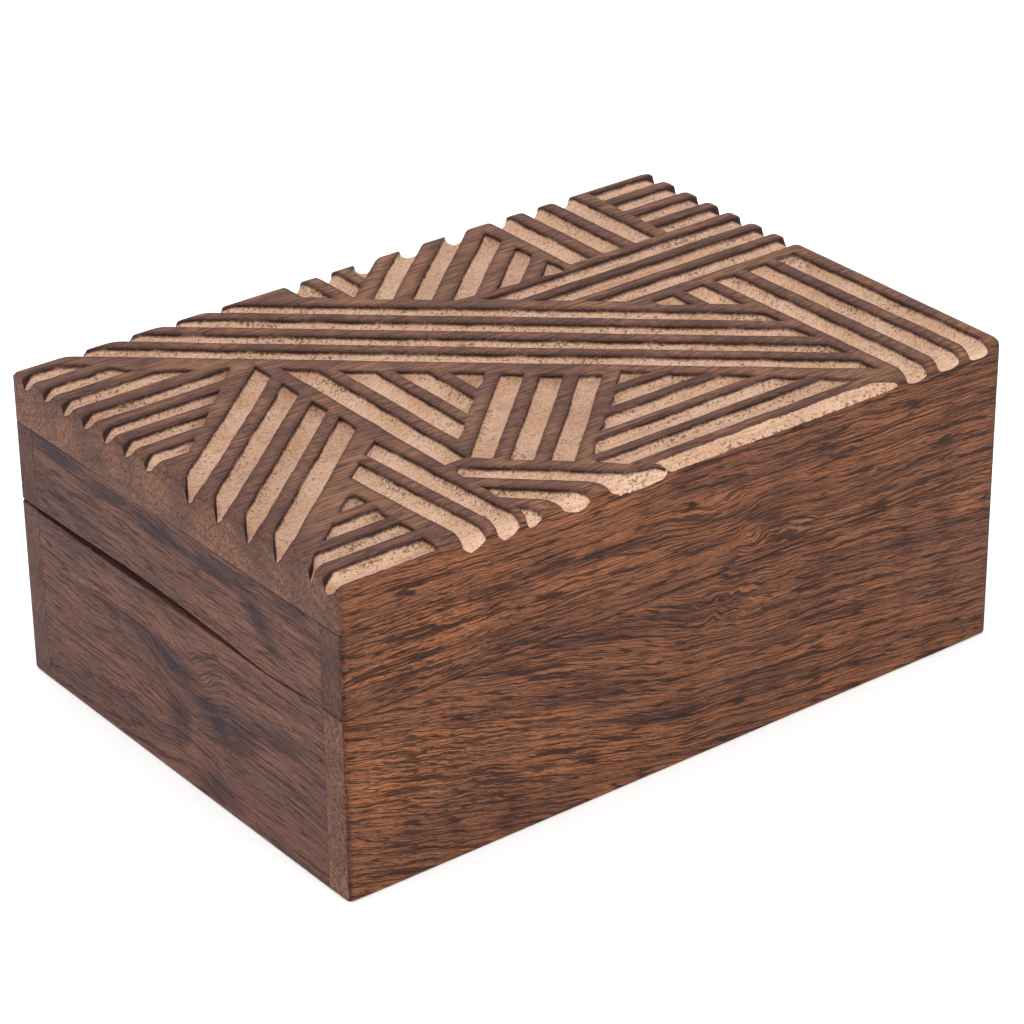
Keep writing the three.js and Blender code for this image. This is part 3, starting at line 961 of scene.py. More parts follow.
@dataclass(frozen=True)
class Palettes:
    """The colours that the boards share."""

    front_light: Colour = display(150, 93, 58)
    front_middle: Colour = display(116, 72, 50)
    front_band: Colour = display(68, 41, 35)
    front_streak: Colour = display(34, 16, 13)
    side_light: Colour = display(122, 82, 67)
    side_middle: Colour = display(97, 65, 56)
    side_band: Colour = display(72, 47, 43)
    side_streak: Colour = display(36, 20, 22)
    side_stain: Colour = display(42, 29, 36)
    long_end: Colour = display(110, 74, 62)
    pale_end: Colour = display(138, 96, 76)
    dark_end: Colour = display(106, 72, 62)
    long_end_fleck: Colour = display(46, 28, 26)


@dataclass(frozen=True)
class BoardFrames:
    """The eight boards that make the case and the lid's frame."""

    palette: Palettes = Palettes()
    parting: float = CASE_HEIGHT

    def _long_wood(self, seed: float, **changes: Any) -> BoardWood:
        """Choose the finish of a front or rear board.

        Args:
            seed: Number that sets this board's grain apart from the others'.
            changes: Fields of the finish that aren't as on most of these boards.

        Returns:
            The finish.
        """
        tones = self.palette
        given: dict[str, Any] = {
            "run": Run.LONG_BOARD,
            "light": tones.front_light,
            "middle": tones.front_middle,
            "band": tones.front_band,
            "streak": tones.front_streak,
            "seed": seed,
        }
        given.update(changes)
        return BoardWood(**given)

    def _short_wood(self, seed: float, **changes: Any) -> BoardWood:
        """Choose the finish of a left or right board.

        Args:
            seed: Number that sets this board's grain apart from the others'.
            changes: Fields of the finish that aren't as on most of these boards.

        Returns:
            The finish.
        """
        tones = self.palette
        given: dict[str, Any] = {
            "run": Run.SHORT_BOARD,
            "light": tones.side_light,
            "middle": tones.side_middle,
            "band": tones.side_band,
            "streak": tones.side_streak,
            "stain": tones.side_stain,
            "seed": seed,
            "worn_ends": 90.0,
            "streak_share": 0.72,
            "dash_share": 0.3,
            "lean": -0.03,
        }
        given.update(changes)
        return BoardWood(**given)

    def _ends(self, node: str, finish: BoardWood) -> EndGrain:
        """Choose the end grain of a board.

        Args:
            node: Name of the board's frame part.
            finish: The board's own finish.

        Returns:
            The end grain.
        """
        tones = self.palette
        grounds = {
            "case_front_board": tones.pale_end,
            "lid_front_board": tones.dark_end,
            "lid_rear_board": tones.dark_end,
        }
        ground = grounds.get(node, tones.long_end)
        return EndGrain(finish.run, ground, tones.long_end_fleck, 1.6, 0.02, finish.seed, (self.parting, 0.0))

    def lid_front_wood(self) -> BoardWood:
        """Return the finish of the lid's front board, which the top's long edges share."""
        return self._long_wood(
            12.0, lean=0.045, seams=(self.parting,), far_shade=0.26,
            dashed=(Patch(-74, 62, 48, 22, 0, 0.65),),
            lighter=(Patch(-78, 60, 34, 12, 0, 0.9), Patch(60, 64, 26, 4, -5, 0.35)),
            darker=(
                Patch(-22, 66, 30, 1.8, -6, 0.8), Patch(22, 60, 16, 1.8, -22, 0.8),
                Patch(62, 54, 38, 2.0, -5, 0.8), Patch(-75, 58, 30, 1.4, -8, 0.5),
            ),
            swirls=(Patch(8, 65, 17, 7, -8, 2.2), Patch(28, 58, 16, 7, -8, -2.2)),
            mottled=(Patch(14, 55, 14, 5),),
        )

    def boards(self) -> list[Board]:
        """List the boards with their finishes.

        Returns:
            The eight boards, first the case's and then the lid's.
        """
        parting = (self.parting, 0.0)
        case_front = self._long_wood(
            4.0, lean=0.12, lean_left=0.14, seams=parting, far_shade=0.26,
            dashed=(Patch(-80, 24, 48, 34, -10, 0.65), Patch(20, 38, 24, 8, 0, 0.6)),
            lighter=(Patch(-84, 28, 24, 14, -14, 0.7), Patch(-30, 12, 34, 5, -10, 0.5)),
            darker=(
                Patch(-22, 44, 46, 4.5, -7, 0.9), Patch(-28, 30, 34, 6, -14, 0.7),
                Patch(-12, 17, 22, 3.5, -14, 0.9), Patch(60, 38, 50, 5, -6, 0.3),
            ),
            mottled=(Patch(13, 40, 20, 9),),
        )
        case_rear = self._long_wood(31.0, lean=-0.03)
        lid_front = self.lid_front_wood()
        lid_rear = self._long_wood(44.0, lean=0.02)
        case_left = self._short_wood(
            6.0, seams=(0.0,),
            stains=(
                Patch(-5, 30, 17, 7, 20, 0.7), Patch(-21, 25, 15, 9, 0, 0.75), Patch(0, 16, 8, 11, 10, 0.7),
                Patch(-14, 5, 15, 7, 0, 0.6), Patch(12, 33, 22, 4, 12, 0.5), Patch(-45, 32, 24, 4, -8, 0.4),
            ),
            lighter=(
                Patch(18, 40, 30, 4, 6, 0.8), Patch(-40, 38, 30, 4, -4, 0.7), Patch(-6, 14, 4, 9, 0, 0.6),
            ),
            swirls=(Patch(-4, 30, 20, 16, 0, 5.0), Patch(-4, 8, 18, 12, 0, -2.5)),
        )
        case_right = self._short_wood(52.0, seams=parting)
        lid_left = self._short_wood(
            9.0,
            stains=(
                Patch(3, 66, 19, 4.5, 6, 0.95), Patch(-20, 67, 15, 4.5, 0, 1.0),
                Patch(27, 67, 11, 4, -10, 0.8), Patch(52, 69, 18, 3.5, 0, 0.8),
                Patch(-36, 62, 13, 5, 40, 0.7), Patch(54, 58, 18, 3.5, 0, 0.6),
                Patch(-52, 69, 14, 3, 0, 0.6),
            ),
            pale_joint=(-7.0, 39.0, 70.9),
            lighter=(
                Patch(22, 56, 14, 4, 0, 0.8), Patch(-20, 55, 26, 3, -3, 0.7), Patch(-55, 60, 14, 8, 0, 0.5),
            ),
        )
        lid_right = self._short_wood(61.0)
        finishes = {
            "case": (case_front, case_rear, case_left, case_right),
            "lid": (lid_front, lid_rear, lid_left, lid_right),
        }
        made = []
        for body, woods in finishes.items():
            for place, finish in zip(("front", "rear", "left", "right"), woods):
                node = f"{body}_{place}_board"
                name = f"{place}_{body}_board"
                slot = "long_board_wood" if finish.run is Run.LONG_BOARD else "short_board_wood"
                made.append(Board(node, name, body, slot, finish.run, finish, self._ends(node, finish)))
        return made

    def build(self, rng: np.random.Generator) -> None:
        """Make all boards.

        Args:
            rng: Source of the small differences along the edges.
        """
        for board in self.boards():
            made = board.build(rng)
            log.info("%s: %d faces", made.name, len(made.data.polygons))


@dataclass(frozen=True)
class Zone:
    """One area of the lid's top with equal parallel grooves.

    The grooves run at the angle in degrees from +X. Their middles stand at first, first + pitch and so on,
    measured square to them, and the outline is the area's border. Exit is the further depth where a groove
    leaves over the lid's edge, skew moves its deepest line there, as a share of its half width, and narrow
    is the share of its width that it loses there. Reach is how far the dark stain and the painted shade run
    down the grooves' walls, against 1 in most zones.
    """

    angle: float
    first: float
    pitch: float
    count: int
    width: float
    outline: tuple[Point, ...]
    reach: float = 1.0
    depth: float = 3.3
    exit: float = 0.0
    skew: float = 0.0
    narrow: float = 0.0


LEFT, RIGHT, FRONT, BACK = -110.0, 110.0, -78.0, 78.0
ZONES = (
    Zone(0, 7.2, 9.2, 7, 5.7, (
        (LEFT, 1), (LEFT, 68), (-94.5, 68), (-85.5, 60.5), (-77.8, 50.5), (-66, 41), (-58.2, 36.9),
        (-95.5, 1)),
        exit=-1.0, skew=0.6, narrow=0.2),
    Zone(40.2, 29.8, 9.15, 4, 5.6, (
        (LEFT, FRONT), (-53.3, FRONT), (-53.3, BACK), (LEFT, BACK)), exit=0.3, skew=0.65, narrow=0.4),
    Zone(0, -66.5, 8.75, 4, 5.6, ((LEFT, -71), (-73.9, -71), (-73.9, -36), (LEFT, -65.9)), skew=0.4),
    Zone(93.9, 58.5, 10.0, 2, 6.8, (
        (-76, FRONT), (-49.0, FRONT), (-51, -15.5), (-76, -35)), exit=-0.6, skew=0.25),
    Zone(90, 14.9, 10.2, 4, 6.9, ((-50, 28.9), (-50, -39.3), (-41.5, -39.3), (-41.5, -33), (-11.2, -4.8))),
    Zone(43.25, -21.6, 9.5, 3, 5.8, ((-46, -36), (-22.5, -58.5), (15, -28.5), (-13, -3.8))),
    Zone(0, -62.25, 8.75, 5, 6.25, (
        (15.5, -25.3), (-19.8, -57), (-20.6, -60.2), (-9.6, -70), (75, -70), (58.5, -66))),
    Zone(0, -70.3, 9.0, 1, 4.6, (
        (-13.5, -66.5), (-3.2, -72), (-3.2, FRONT), (80, FRONT), (72.0, -71.4), (54.0, -66.9)),
        reach=0.3, depth=1.05),
    Zone(-43, -84.1, 9.65, 3, 5.9, (
        (-48.4, FRONT), (-49.2, -43.5), (-47.2, -41.3), (-42, -41.3), (-3, FRONT)), exit=-1.1, skew=0.2),
    Zone(-6, -71.6, 9.0, 1, 5.0, (
        (-23, -66.5), (-13, -66.5), (-4.6, -71.2), (-5.5, FRONT), (-20.0, FRONT)), depth=2.6),
    Zone(-41, -2.8, 8.95, 4, 5.7, ((LEFT, FRONT), (65.6, FRONT), (65.6, BACK), (LEFT, BACK))),
    Zone(90, 8.0, 9.75, 2, 6.3, ((-22, BACK), (-22, 61.2), (-11.2, 50.8), (-4.6, 56), (-4.6, BACK))),
    Zone(41.5, -1.8, 9.97, 6, 5.5, (
        (-8, 47.8), (8.5, 33.6), (42.7, 30.4), (41, 62), (41, BACK), (-1.6, BACK), (-1.6, 60), (-8.3, 50))),
    Zone(90, -70.8, 10.8, 3, 7.0, ((43, BACK), (76, BACK), (76, 32.7), (43, 32.7))),
    Zone(0, 35.8, 9.17, 4, 6.2, ((78.4, 31), (RIGHT, 31), (RIGHT, BACK), (78.4, BACK)), reach=1.5),
    Zone(0, 8.6, 9.17, 3, 6.2, ((14, 30.1), (43.5, 4), (RIGHT, 4), (RIGHT, 30.1)), reach=1.5),
    Zone(91, -92.6, 10.45, 5, 7.0, (
        (43, 1.8), (64.9, -14.9), (66.8, -14.9), (66.8, FRONT), (97, FRONT), (97, 1.8)), exit=-1.9),
)


class GridNoise:
    """Smooth random heights over the lid, the same on every run."""

    def __init__(self, rng: np.random.Generator, cell: float, half: float = 130.0) -> None:
        """Lay random numbers from -1 to 1 on a square grid.

        Args:
            rng: Source of the numbers.
            cell: Size of one cell of the grid in millimetres.
            half: How far the grid reaches to each side of the middle.
        """
        self.cell = cell
        self.half = half
        count = int(2 * half / cell) + 3
        self.values = rng.uniform(-1.0, 1.0, (count, count))

    def at(self, x: np.ndarray, y: np.ndarray) -> np.ndarray:
        """Read the noise.

        Args:
            x: Places along the lid in millimetres.
            y: Places across it.

        Returns:
            The heights, -1 to 1.
        """
        column = (x + self.half) / self.cell
        row = (y + self.half) / self.cell
        left = np.clip(np.floor(column).astype(int), 0, self.values.shape[0] - 2)
        low = np.clip(np.floor(row).astype(int), 0, self.values.shape[1] - 2)
        part = np.clip(column - left, 0.0, 1.0)
        rise = np.clip(row - low, 0.0, 1.0)
        part = part * part * (3.0 - 2.0 * part)
        rise = rise * rise * (3.0 - 2.0 * rise)
        below = self.values[left, low] * (1 - part) + self.values[left + 1, low] * part
        above = self.values[left, low + 1] * (1 - part) + self.values[left + 1, low + 1] * part
        return below * (1 - rise) + above * rise


@dataclass
class Carving:
    """What the gouge did at a set of points."""

    inside: np.ndarray
    half_width: np.ndarray
    depth: np.ndarray
    reach: np.ndarray
    heading: np.ndarray
    skew: np.ndarray
    side: np.ndarray


@dataclass
class CarvedTop:
    """The lid's thick top board with its gouged stripes.

    Roll is how far the top is worn down towards an edge: side_roll for the front and the rear, end_roll for
    the left end's front, its rear and the right end. Levels are the distances inside a groove's rim on which
    the mesh has lines of points, and the clear values keep scattered points off those lines. Waver and fray
    are how far the grooves' ends, sides and rims stray, each as the shares of two noises. The skirt is
    the outer side below the carving. Its skirt_drops are measured down from the carving's border, and its
    skirt_levels are heights.
    """

    length: float = BOX_LENGTH
    width: float = BOX_DEPTH
    top: float = TOP_SURFACE
    underside: float = LID_FRAME_TOP
    corner: float = CORNER_RADIUS
    corner_steps: int = 4
    side_roll: tuple[float, float] = (1.95, 1.3)
    side_roll_reach: float = 3.6
    end_roll: tuple[float, float, float] = (1.5, 0.6, 0.9)
    end_roll_reach: float = 2.8
    arris: float = 0.5
    end_slope: float = 1.25
    run_out: float = 4.5
    pointed: float = 1.3
    shoulder: float = 0.34
    end_waver: tuple[float, float] = (0.4, 0.2)
    side_waver: tuple[float, float] = (0.17, 0.04)
    rim_fray: tuple[float, float] = (0.07, 0.05)
    width_spread: float = 0.22
    shift_spread: float = 0.2
    depth_spread: float = 0.1
    tool_mark_from: float = 0.5
    tool_mark_fade: float = 1.2
    chatter_rate: float = 2.6
    chatter_height: float = 0.05
    lump_height: float = 0.09
    shake_height: float = 0.1
    grid_step: float = 0.3
    grid_margin: float = 1.2
    levels: tuple[float, ...] = (-0.3, -0.1, 0.0, 0.12, 0.45, 1.1, 1.9)
    rim_step: float = 0.62
    floor_step: float = 0.85
    ridge_step: float = 1.9
    row_share: float = 0.866
    closest: float = 0.16
    sharpest_turn: float = 0.3
    fewest_points: int = 8
    ridge_clear: float = 0.95
    ring_clear: float = 0.75
    floor_clear: float = 0.3
    ring_insets: tuple[float, ...] = (0.07, 0.22, 0.5, 1.1, 1.8, 2.6, 3.5, 4.5)
    ring_step: float = 0.8
    skirt_drops: tuple[float, float, float] = (0.1, 0.9, 1.2)
    skirt_levels: tuple[float, float, float] = (78.2, 76.0, 73.2)
    lower_bevel: float = 0.3
    bevel_share: float = 0.3
    burn_and_shade_depth: float = 1.5
    sharp_from: float = 75.0
    under_length: float = 0.45
    under_width: float = 0.28
    map_gap: float = 4.0
    torn_stretch: tuple[float, float] = (4.0, 58.0)
    torn_rear: float = -69.2
    torn_fade: float = 6.0
    seed: int = 7

    def __post_init__(self) -> None:
        """Draw the random numbers that the carving uses."""
        rng = np.random.default_rng(self.seed)
        self.sway = GridNoise(rng, 11.0)
        self.shake = GridNoise(rng, 3.1)
        self.fray = GridNoise(rng, 1.1)
        self.end_sway = GridNoise(rng, 5.0)
        self.lumps = GridNoise(rng, 0.9)
        self.swell = GridNoise(rng, 7.0)
        width, shift = self.width_spread, self.shift_spread
        self.stroke_width = [rng.uniform(-width, width, zone.count) for zone in ZONES]
        self.stroke_shift = [rng.uniform(-shift, shift, zone.count) for zone in ZONES]
        self.stroke_depth = [rng.uniform(-1.0, 0.5, zone.count) for zone in ZONES]

    @staticmethod
    def _inside_outline(x: np.ndarray, y: np.ndarray, outline: tuple[Point, ...]) -> np.ndarray:
        """Measure how far points are inside a closed outline.

        Args:
            x: Places along the lid.
            y: Places across it.
            outline: The corners of the outline in order.

        Returns:
            The distance to the outline, negative outside.
        """
        nearest = np.full(x.shape, 1e9)
        within = np.zeros(x.shape, dtype=bool)
        for index, (ax, ay) in enumerate(outline):
            bx, by = outline[(index + 1) % len(outline)]
            dx, dy = bx - ax, by - ay
            share = np.clip(((x - ax) * dx + (y - ay) * dy) / (dx * dx + dy * dy), 0.0, 1.0)
            nearest = np.minimum(nearest, np.hypot(x - ax - share * dx, y - ay - share * dy))
            crosses = (ay > y) != (by > y)
            if dy:
                within ^= crosses & (x < ax + (y - ay) * dx / dy)
        return np.where(within, nearest, -nearest)

    def carve(self, x: np.ndarray, y: np.ndarray) -> Carving:
        """Work out the grooves at a set of points.

        Args:
            x: Places along the lid.
            y: Places across it.

        Returns:
            Distance inside the nearest groove, its half width, depth, reach of the stain and painted shade
            and heading, how far its deepest line is moved, and the side of its middle.
        """
        inside = np.full(x.shape, -9.0)
        half_width = np.full(x.shape, 2.9)
        depth = np.full(x.shape, 3.0)
        reach = np.full(x.shape, 1.0)
        heading = np.zeros(x.shape)
        skew = np.zeros(x.shape)
        side = np.ones(x.shape)
        ends = self.end_sway.at(x, y) * self.end_waver[0] + self.shake.at(x, y) * self.end_waver[1]
        drift = self.sway.at(x, y) * self.side_waver[0] + self.shake.at(y, x) * self.side_waver[1]
        fray = self.fray.at(x, y) * self.rim_fray[0] + self.shake.at(x + 40.0, y) * self.rim_fray[1]
        to_edge = np.minimum(self.length / 2 - np.abs(x), self.width / 2 - np.abs(y))
        leaving = np.clip(1.0 - to_edge / self.run_out, 0.0, 1.0) ** 2
        for number, zone in enumerate(ZONES):
            angle = math.radians(zone.angle)
            across = -math.sin(angle) * x + math.cos(angle) * y + drift
            stroke = np.clip(np.rint((across - zone.first) / zone.pitch).astype(int), 0, zone.count - 1)
            middle = zone.first + stroke * zone.pitch + self.stroke_shift[number][stroke]
            half = (zone.width + self.stroke_width[number][stroke]) / 2 * (1.0 - zone.narrow * leaving)
            strip = half - np.abs(across - middle) + fray
            ended = (self._inside_outline(x, y, zone.outline) + ends) * (half / self.end_slope)
            here = np.minimum(strip, ended)
            wins = here > inside
            inside = np.where(wins, here, inside)
            half_width = np.where(wins, half, half_width)
            uneven = 1.0 + self.depth_spread * self.stroke_depth[number][stroke]
            cut = zone.depth * uneven + zone.exit * leaving
            depth = np.where(wins, cut, depth)
            reach = np.where(wins, zone.reach, reach)
            heading = np.where(wins, angle, heading)
            skewed = zone.skew * leaving * np.clip((ended - strip) / half, 0.0, 1.0)
            skew = np.where(wins, skewed, skew)
            side = np.where(wins, np.where(across > middle, 1.0, -1.0), side)
        return Carving(inside, half_width, depth, reach, heading, skew, side)

    def _drop(self, x: np.ndarray, y: np.ndarray) -> np.ndarray:
        """Work out how far the uncarved top is worn down towards its edges.

        Args:
            x: Places along the lid.
            y: Places across it.

        Returns:
            The drop below the top.
        """
        left_front, left_rear, right = self.end_roll
        to_rear = np.clip((y + 5.0) / 40.0, 0.0, 1.0)
        end_roll = np.where(x > 0, right, left_front + (left_rear - left_front) * to_rear)
        over_end = np.clip(1.0 - (self.length / 2 - np.abs(x)) / self.end_roll_reach, 0.0, 1.0)
        over_side = np.clip(1.0 - (self.width / 2 - np.abs(y)) / self.side_roll_reach, 0.0, 1.0)
        over_arris = np.clip(1.0 - self._margin(x, y) / self.arris, 0.0, 1.0)
        side_roll = np.where(y < 0, self.side_roll[0], self.side_roll[1])
        rolled = np.hypot(end_roll * over_end**2, side_roll * over_side**2)
        return rolled + self.arris * (1.0 - np.sqrt(1.0 - over_arris**2))

    def field(self, x: np.ndarray, y: np.ndarray) -> np.ndarray:
        """Return the distance inside the grooves' rims."""
        return self.carve(x, y).inside

    def surface(self, x: np.ndarray, y: np.ndarray, level: np.ndarray) -> dict[str, np.ndarray]:
        """Work out the height and the marks of the carved surface.

        Args:
            x: Places along the lid.
            y: Places across it.
            level: The known distance inside a rim, or nan where it has to be worked out.

        Returns:
            The height and the numbers that the finish reads.
        """
        carving = self.carve(x, y)
        rim = np.where(np.isnan(level), carving.inside, level)
        share = np.clip(rim / carving.half_width, 0.0, 1.0)
        place = carving.side * (1.0 - share)
        rising = (place + 1.0) / (carving.skew + 1.0)
        share = np.where(place < carving.skew, rising, (1.0 - place) / (1.0 - carving.skew))
        pointed = self.pointed * carving.skew
        section = np.sqrt(1.0 - (1.0 - share) ** 2) * (1.0 - pointed) + share * pointed
        sunk = np.where(rim < 0.0, rim, carving.depth * section)
        ground = self.top - self._drop(x, y)
        mixed = np.clip(0.5 - 0.5 * sunk / self.shoulder, 0.0, 1.0)
        height = ground - sunk * (1 - mixed) - self.shoulder * mixed * (1 - mixed)
        ahead = np.cos(carving.heading) * x + np.sin(carving.heading) * y
        chatter = np.sin(ahead * self.chatter_rate + self.swell.at(x, y) * 5.0)
        chatter = chatter * np.clip(self.swell.at(y, x), 0.0, 1.0)
        lumps = self.lump_height * self.lumps.at(x, y)
        shake = self.shake_height * self.shake.at(x, y)
        worked = np.clip((rim - self.tool_mark_from) / self.tool_mark_fade, 0.0, 1.0)
        height -= worked * (self.chatter_height * chatter + lumps + shake)
        torn = np.clip(self.swell.at(x - 30.0, y + 10.0), 0.0, 1.0)
        return {
            "height": height,
            "cut_depth": np.maximum(ground - height, 0.0),
            "rim_distance": rim,
            "stain_and_shade_reach": carving.reach,
            "torn_share": np.maximum(torn, 2.2 * self._strip_tears(x, y, carving.reach)),
        }

    def _strip_tears(self, x: np.ndarray, y: np.ndarray, reach: np.ndarray) -> np.ndarray:
        """Work out the slanted tears in the shallow strip along the front edge.

        Args:
            x: Places along the lid.
            y: Places across it.
            reach: Reach of the dark stain and painted shade of the nearest groove, below a half in that strip
                alone.

        Returns:
            1 in a tear and 0 elsewhere, fading at both ends of the torn stretch.
        """
        start, end = self.torn_stretch
        tears = (reach < 0.5) * np.clip((self.torn_rear - y) / 0.4, 0.0, 1.0)
        from_start = np.clip((x - start) / self.torn_fade, 0.0, 1.0)
        from_end = np.clip((end - x) / self.torn_fade, 0.0, 1.0)
        tears *= from_start * from_end
        return tears * (np.sin((x + 1.4 * y) * 1.9 + self.swell.at(x, y) * 3.0) > -0.1)

    def _contour(self, field: np.ndarray, xs: np.ndarray, ys: np.ndarray, level: float) -> list[np.ndarray]:
        """Trace the lines on which a field has one value.

        Args:
            field: Values on the grid, first index along x.
            xs: Grid places along x.
            ys: Grid places along y.
            level: The value to follow.

        Returns:
            Lines of points; a closed one ends where it starts.
        """
        above = field > level
        flat = above[:-1, :] != above[1:, :]
        upright = above[:, :-1] != above[:, 1:]
        rows = field.shape[1]
        base = field.size
        with np.errstate(divide="ignore", invalid="ignore"):
            part_x = (level - field[:-1, :]) / (field[1:, :] - field[:-1, :])
            part_y = (level - field[:, :-1]) / (field[:, 1:] - field[:, :-1])
        spots: dict[int, Point] = {}
        step_x, step_y = xs[1] - xs[0], ys[1] - ys[0]
        for i, j in zip(*np.nonzero(flat)):
            spots[int(i * rows + j)] = (float(xs[i] + step_x * part_x[i, j]), float(ys[j]))
        for i, j in zip(*np.nonzero(upright)):
            spots[int(base + i * rows + j)] = (float(xs[i]), float(ys[j] + step_y * part_y[i, j]))
        low, high = flat[:, :-1], flat[:, 1:]
        left, right = upright[:-1, :], upright[1:, :]
        joined: dict[int, list[int]] = {key: [] for key in spots}
        for i, j in zip(*np.nonzero(low | high | left | right)):
            keys = []
            if low[i, j]:
                keys.append(int(i * rows + j))
            if left[i, j]:
                keys.append(int(base + i * rows + j))
            if high[i, j]:
                keys.append(int(i * rows + j + 1))
            if right[i, j]:
                keys.append(int(base + (i + 1) * rows + j))
            for first, second in zip(keys[::2], keys[1::2]):
                joined[first].append(second)
                joined[second].append(first)
        lines = []
        used: set[int] = set()
        starts = sorted(joined, key=lambda key: (len(joined[key]) != 1, key))
        for start in starts:
            if start in used:
                continue
            line = [start]
            used.add(start)
            ahead = [key for key in joined[start] if key not in used]
            while ahead:
                line.append(ahead[0])
                used.add(ahead[0])
                ahead = [key for key in joined[line[-1]] if key not in used]
            if len(line) > 2 and start in joined[line[-1]]:
                line.append(start)
            lines.append(np.array([spots[key] for key in line]))
        return lines

    def _thinned(self, line: np.ndarray) -> np.ndarray:
        """Keep the points of a line that its shape needs.

        Args:
            line: Points in order.

        Returns:
            Fewer points: close together where the line turns, and one step apart where it is straight.
        """
        kept = [line[0]]
        course = None
        for spot in line[1:]:
            move = spot - kept[-1]
            gap = float(np.hypot(*move))
            if gap < self.closest:
                continue
            turn = 0.0
            if course is not None:
                turn = abs(math.atan2(course[0] * move[1] - course[1] * move[0], float(course @ move)))
            if gap >= self.rim_step or turn > self.sharpest_turn:
                if len(kept) > 1 or course is not None:
                    course = move / gap
                kept.append(spot)
            elif course is None:
                course = move / gap
        return np.array(kept)

    def _outline(self) -> np.ndarray:
        """Work out the board's plan outline.

        Returns:
            Closely set points in order, without the first one repeated.
        """
        half_x, half_y, radius = self.length / 2, self.width / 2, self.corner
        spots: list[Point] = []
        corners = (
            (half_x, -half_y, -90), (half_x, half_y, 0), (-half_x, half_y, 90), (-half_x, -half_y, 180),
        )
        for x, y, start in corners:
            centre = (x - math.copysign(radius, x), y - math.copysign(radius, y))
            for step in range(self.corner_steps + 1):
                angle = math.radians(start + step * 90.0 / self.corner_steps)
                spots.append((centre[0] + radius * math.cos(angle), centre[1] + radius * math.sin(angle)))
        full: list[Point] = []
        for (ax, ay), (bx, by) in zip(spots, spots[1:] + spots[:1]):
            parts = max(1, round(math.hypot(bx - ax, by - ay) / self.rim_step))
            full.extend((ax + (bx - ax) * k / parts, ay + (by - ay) * k / parts) for k in range(parts))
        return np.array(full)

    def _scattered(self) -> np.ndarray:
        """Scatter points where the mesh has no lines of them.

        Returns:
            Points for the ridges, the groove floors and the rounded edges.
        """
        half_x, half_y = self.length / 2, self.width / 2
        floor_from = self.levels[-1] + self.floor_clear
        found = []
        for step, on_ridge in ((self.ridge_step, True), (self.floor_step, False)):
            xs = np.arange(-half_x + 1.0, half_x - 1.0, step)
            ys = np.arange(-half_y + 1.0, half_y - 1.0, step * self.row_share)
            x, y = np.meshgrid(xs, ys, indexing="ij")
            x = x + np.where(np.arange(len(ys)) % 2, step / 2, 0.0)[None, :]
            x, y = x.ravel(), y.ravel()
            field = self.field(x, y)
            keep = field < -self.ridge_clear if on_ridge else field > floor_from
            found.append(np.stack([x[keep], y[keep]], 1))
        for inset in self.ring_insets:
            reach_x, reach_y = half_x - inset, half_y - inset
            along = np.arange(-reach_x + 1.0, reach_x - 1.0, self.ring_step)
            up = np.arange(-reach_y + 1.0, reach_y - 1.0, self.ring_step)
            ring = [np.stack([along, np.full(along.shape, side)], 1) for side in (-reach_y, reach_y)]
            ring += [np.stack([np.full(up.shape, side), up], 1) for side in (-reach_x, reach_x)]
            spots = np.concatenate(ring)
            field = self.field(spots[:, 0], spots[:, 1])
            found.append(spots[(field < -self.ring_clear) | (field > floor_from)])
        return np.concatenate(found)

    def _flat_net(self) -> tuple[np.ndarray, list[list[int]], np.ndarray]:
        """Cover the plan with triangles that follow the grooves' rims.

        Returns:
            Points, triangles, and the known rim distance of each point, nan where it has none.
        """
        half_x, half_y, step = self.length / 2, self.width / 2, self.grid_step
        xs = np.arange(-half_x - self.grid_margin, half_x + self.grid_margin, step)
        ys = np.arange(-half_y - self.grid_margin, half_y + self.grid_margin, step)
        x, y = np.meshgrid(xs, ys, indexing="ij")
        field = self.field(x, y)
        border = self._outline()
        spots = [border]
        known = [np.full(len(border), np.nan)]
        total = len(border)
        ties = [(index, (index + 1) % total) for index in range(total)]
        for level in self.levels:
            for line in self._contour(field, xs, ys, level):
                if len(line) < self.fewest_points:
                    continue
                line = self._thinned(line)
                clear = self._margin(line[:, 0], line[:, 1]) > self.closest
                spots.append(line)
                known.append(np.where(clear, level, np.inf))
                ties.extend(
                    (total + index, total + index + 1)
                    for index in range(len(line) - 1)
                    if clear[index] and clear[index + 1]
                )
                total += len(line)
        loose = self._scattered()
        spots.append(loose)
        known.append(np.full(len(loose), np.nan))
        points = np.concatenate(spots)
        levels = np.concatenate(known)
        keep = ~np.isinf(levels)
        number = np.cumsum(keep) - 1
        ties = [(int(number[a]), int(number[b])) for a, b in ties]
        points, levels = points[keep], levels[keep]
        flat = [Vector((float(px), float(py))) for px, py in points]
        made = delaunay_2d_cdt(flat, ties, [], 0, 1e-5)
        places = np.array([(spot.x, spot.y) for spot in made[0]])
        marks = np.full(len(places), np.nan)
        for index, sources in enumerate(made[3]):
            if sources:
                marks[index] = levels[sources[0]]
        return places, [list(face) for face in made[2]], marks

    def _margin(self, x: np.ndarray, y: np.ndarray) -> np.ndarray:
        """Measure how far points are inside the board's plan outline.

        Args:
            x: Places along the lid.
            y: Places across it.

        Returns:
            The distance to the outline, negative outside.
        """
        radius = self.corner
        over_x = np.abs(x) - (self.length / 2 - radius)
        over_y = np.abs(y) - (self.width / 2 - radius)
        outside = np.hypot(np.maximum(over_x, 0.0), np.maximum(over_y, 0.0))
        return radius - outside - np.minimum(np.maximum(over_x, over_y), 0.0)

